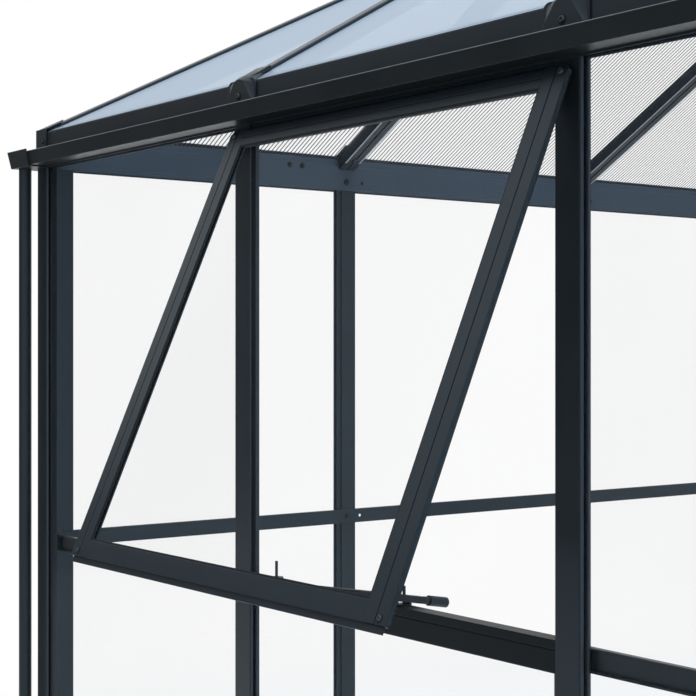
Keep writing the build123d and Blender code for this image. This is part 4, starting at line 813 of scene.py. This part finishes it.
beads = bmesh.new()
for name, (along, out, half, reach, bays) in WALLS.items():
    edges_low = [-half + CORNER_COVER, *(u + COVER_HALF for u in post_lines(name))]
    edges_high = [*(u - COVER_HALF for u in post_lines(name)), half - CORNER_COVER]
    q = PANE_FACE_Q - BEAD_T / 2
    for k in range(bays):
        if name == "right" and k in (1, 2):
            continue
        top = SILL_LOW if name == "front" and k == 1 else BEAM_LOW
        for edge, side in ((edges_low[k], 1), (edges_high[k], -1)):
            middle = on_wall(name, edge + side * BEAD_W / 2, q, (BASE_TOP + top) / 2)
            add_bead(beads, middle, along * side, out, top - BASE_TOP)
add_piece("glazing_beads", "house", [rubber_painted_sheen], beads)

# %% [markdown]
# ## Window details
# The sash hangs open, so its pieces are placed in its own directions: along the hinge, up the sash and out
# of its face. Its pane has a gasket too, and its corners are screwed.

# %% Window details
HINGE_OUT = 0.006
HINGE_Z = 1.7675
HINGE = Vector((0, -HALF_Y - HINGE_OUT, HINGE_Z))
OPEN = radians(23.5)
SASH_OUT = Vector((0, -cos(OPEN), sin(OPEN)))
SASH_UP = Vector((0, sin(OPEN), cos(OPEN)))
ALONG = Vector((1, 0, 0))
SASH_FACE = 0.006
SASH_PANE_FACE = 0.003
GLASS_HALF = 0.3435
GLASS_LOW = -0.691
GLASS_HIGH = -0.026
SASH_SCREWS = ((0.374, -0.006, 0.0048), (0.371, -0.710, 0.0038))


def on_sash(u, v, out):
    return HINGE + ALONG * u + SASH_UP * v + SASH_OUT * out


sash_spots = []
for side in (-1, 1):
    for u, v, radius in SASH_SCREWS:
        sash_spots.append((on_sash(side * u, v, SASH_FACE), SASH_OUT, radius))
set_screws("sash_screws", "window", sash_spots)

sash_rubber = bmesh.new()
middle = on_sash(0, (GLASS_LOW + GLASS_HIGH) / 2, SASH_PANE_FACE + GASKET_T / 2)
add_gasket(sash_rubber, middle, ALONG, SASH_UP, SASH_OUT, 2 * GLASS_HALF, GLASS_HIGH - GLASS_LOW)
add_piece("sash_gasket", "window", [black_rubber], sash_rubber)

# %% [markdown]
# ## Door details
# The lift-off hinges are screwed to post and leaf, and the outer rose of the handle has two small screws.

# %% Door details
HINGE_HEIGHTS = (0.25, 0.95, 1.60)
PLATE_FACE = -0.0025
POST_PLATE_U = 0.7265
LEAF_PLATE_U = 0.6965
HINGE_SCREW_STEPS = (0.008, 0.022)
HINGE_SCREW_R = 0.0030
ROSE_FACE = -0.003
HANDLE_U = 0.0245
HANDLE_Z = 0.98
ROSE_SCREW_STEPS = (-0.0135, 0.0135)
ROSE_SCREW_R = 0.0022
DOOR_OUT = WALLS["right"][1]
post_spots = []
for side, leaf in ((-1, "door_left"), (1, "door_right")):
    leaf_spots = []
    for z in HINGE_HEIGHTS:
        for step in HINGE_SCREW_STEPS:
            place = on_wall("right", side * POST_PLATE_U, PLATE_FACE, z - step)
            post_spots.append((place, DOOR_OUT, HINGE_SCREW_R))
            place = on_wall("right", side * LEAF_PLATE_U, PLATE_FACE, z + step)
            leaf_spots.append((place, DOOR_OUT, HINGE_SCREW_R))
    if leaf == "door_right":
        for step in ROSE_SCREW_STEPS:
            place = on_wall("right", HANDLE_U, ROSE_FACE, HANDLE_Z + step)
            leaf_spots.append((place, DOOR_OUT, ROSE_SCREW_R))
    set_screws(leaf + "_screws", leaf, leaf_spots)
set_screws("hinge_post_screws", "house", post_spots)

# %% [markdown]
# ## Gutter rim highlight
# The gutter is bent from coated strip. A thin pale metal strip on its rim is a painted highlight: it stands
# for the light line that the rim's edge catches along the whole eave.

# %% Gutter rim highlight
RIM_W = 0.0016
RIM_T = 0.0010
RIM_SHORT = 0.040
GUTTER_H = 0.026
# Painted highlight: a pale metal paint for the light line along the gutter's rim.
rim_highlight_paint = coated("rim_highlight_paint", (0.30, 0.31, 0.33), (0.42, 0.43, 0.45), 0.40, 30, 0.03, 0.3)
rim_highlights = bmesh.new()
for name, (along, out, half, reach, bays) in WALLS.items():
    low, high = (Vector(corner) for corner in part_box("gutter_" + name))
    rim_out = max(abs(low.dot(out)), abs(high.dot(out))) - RIM_W / 2
    rim_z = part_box("gutter_" + name)[0][2] + GUTTER_H
    middle = out * rim_out + UP * (rim_z + RIM_T / 2)
    add_bar(rim_highlights, middle, (along, out, UP), (2 * (half - RIM_SHORT), RIM_W, RIM_T))
add_piece("gutter_rim_highlights", "house", [rim_highlight_paint], rim_highlights)
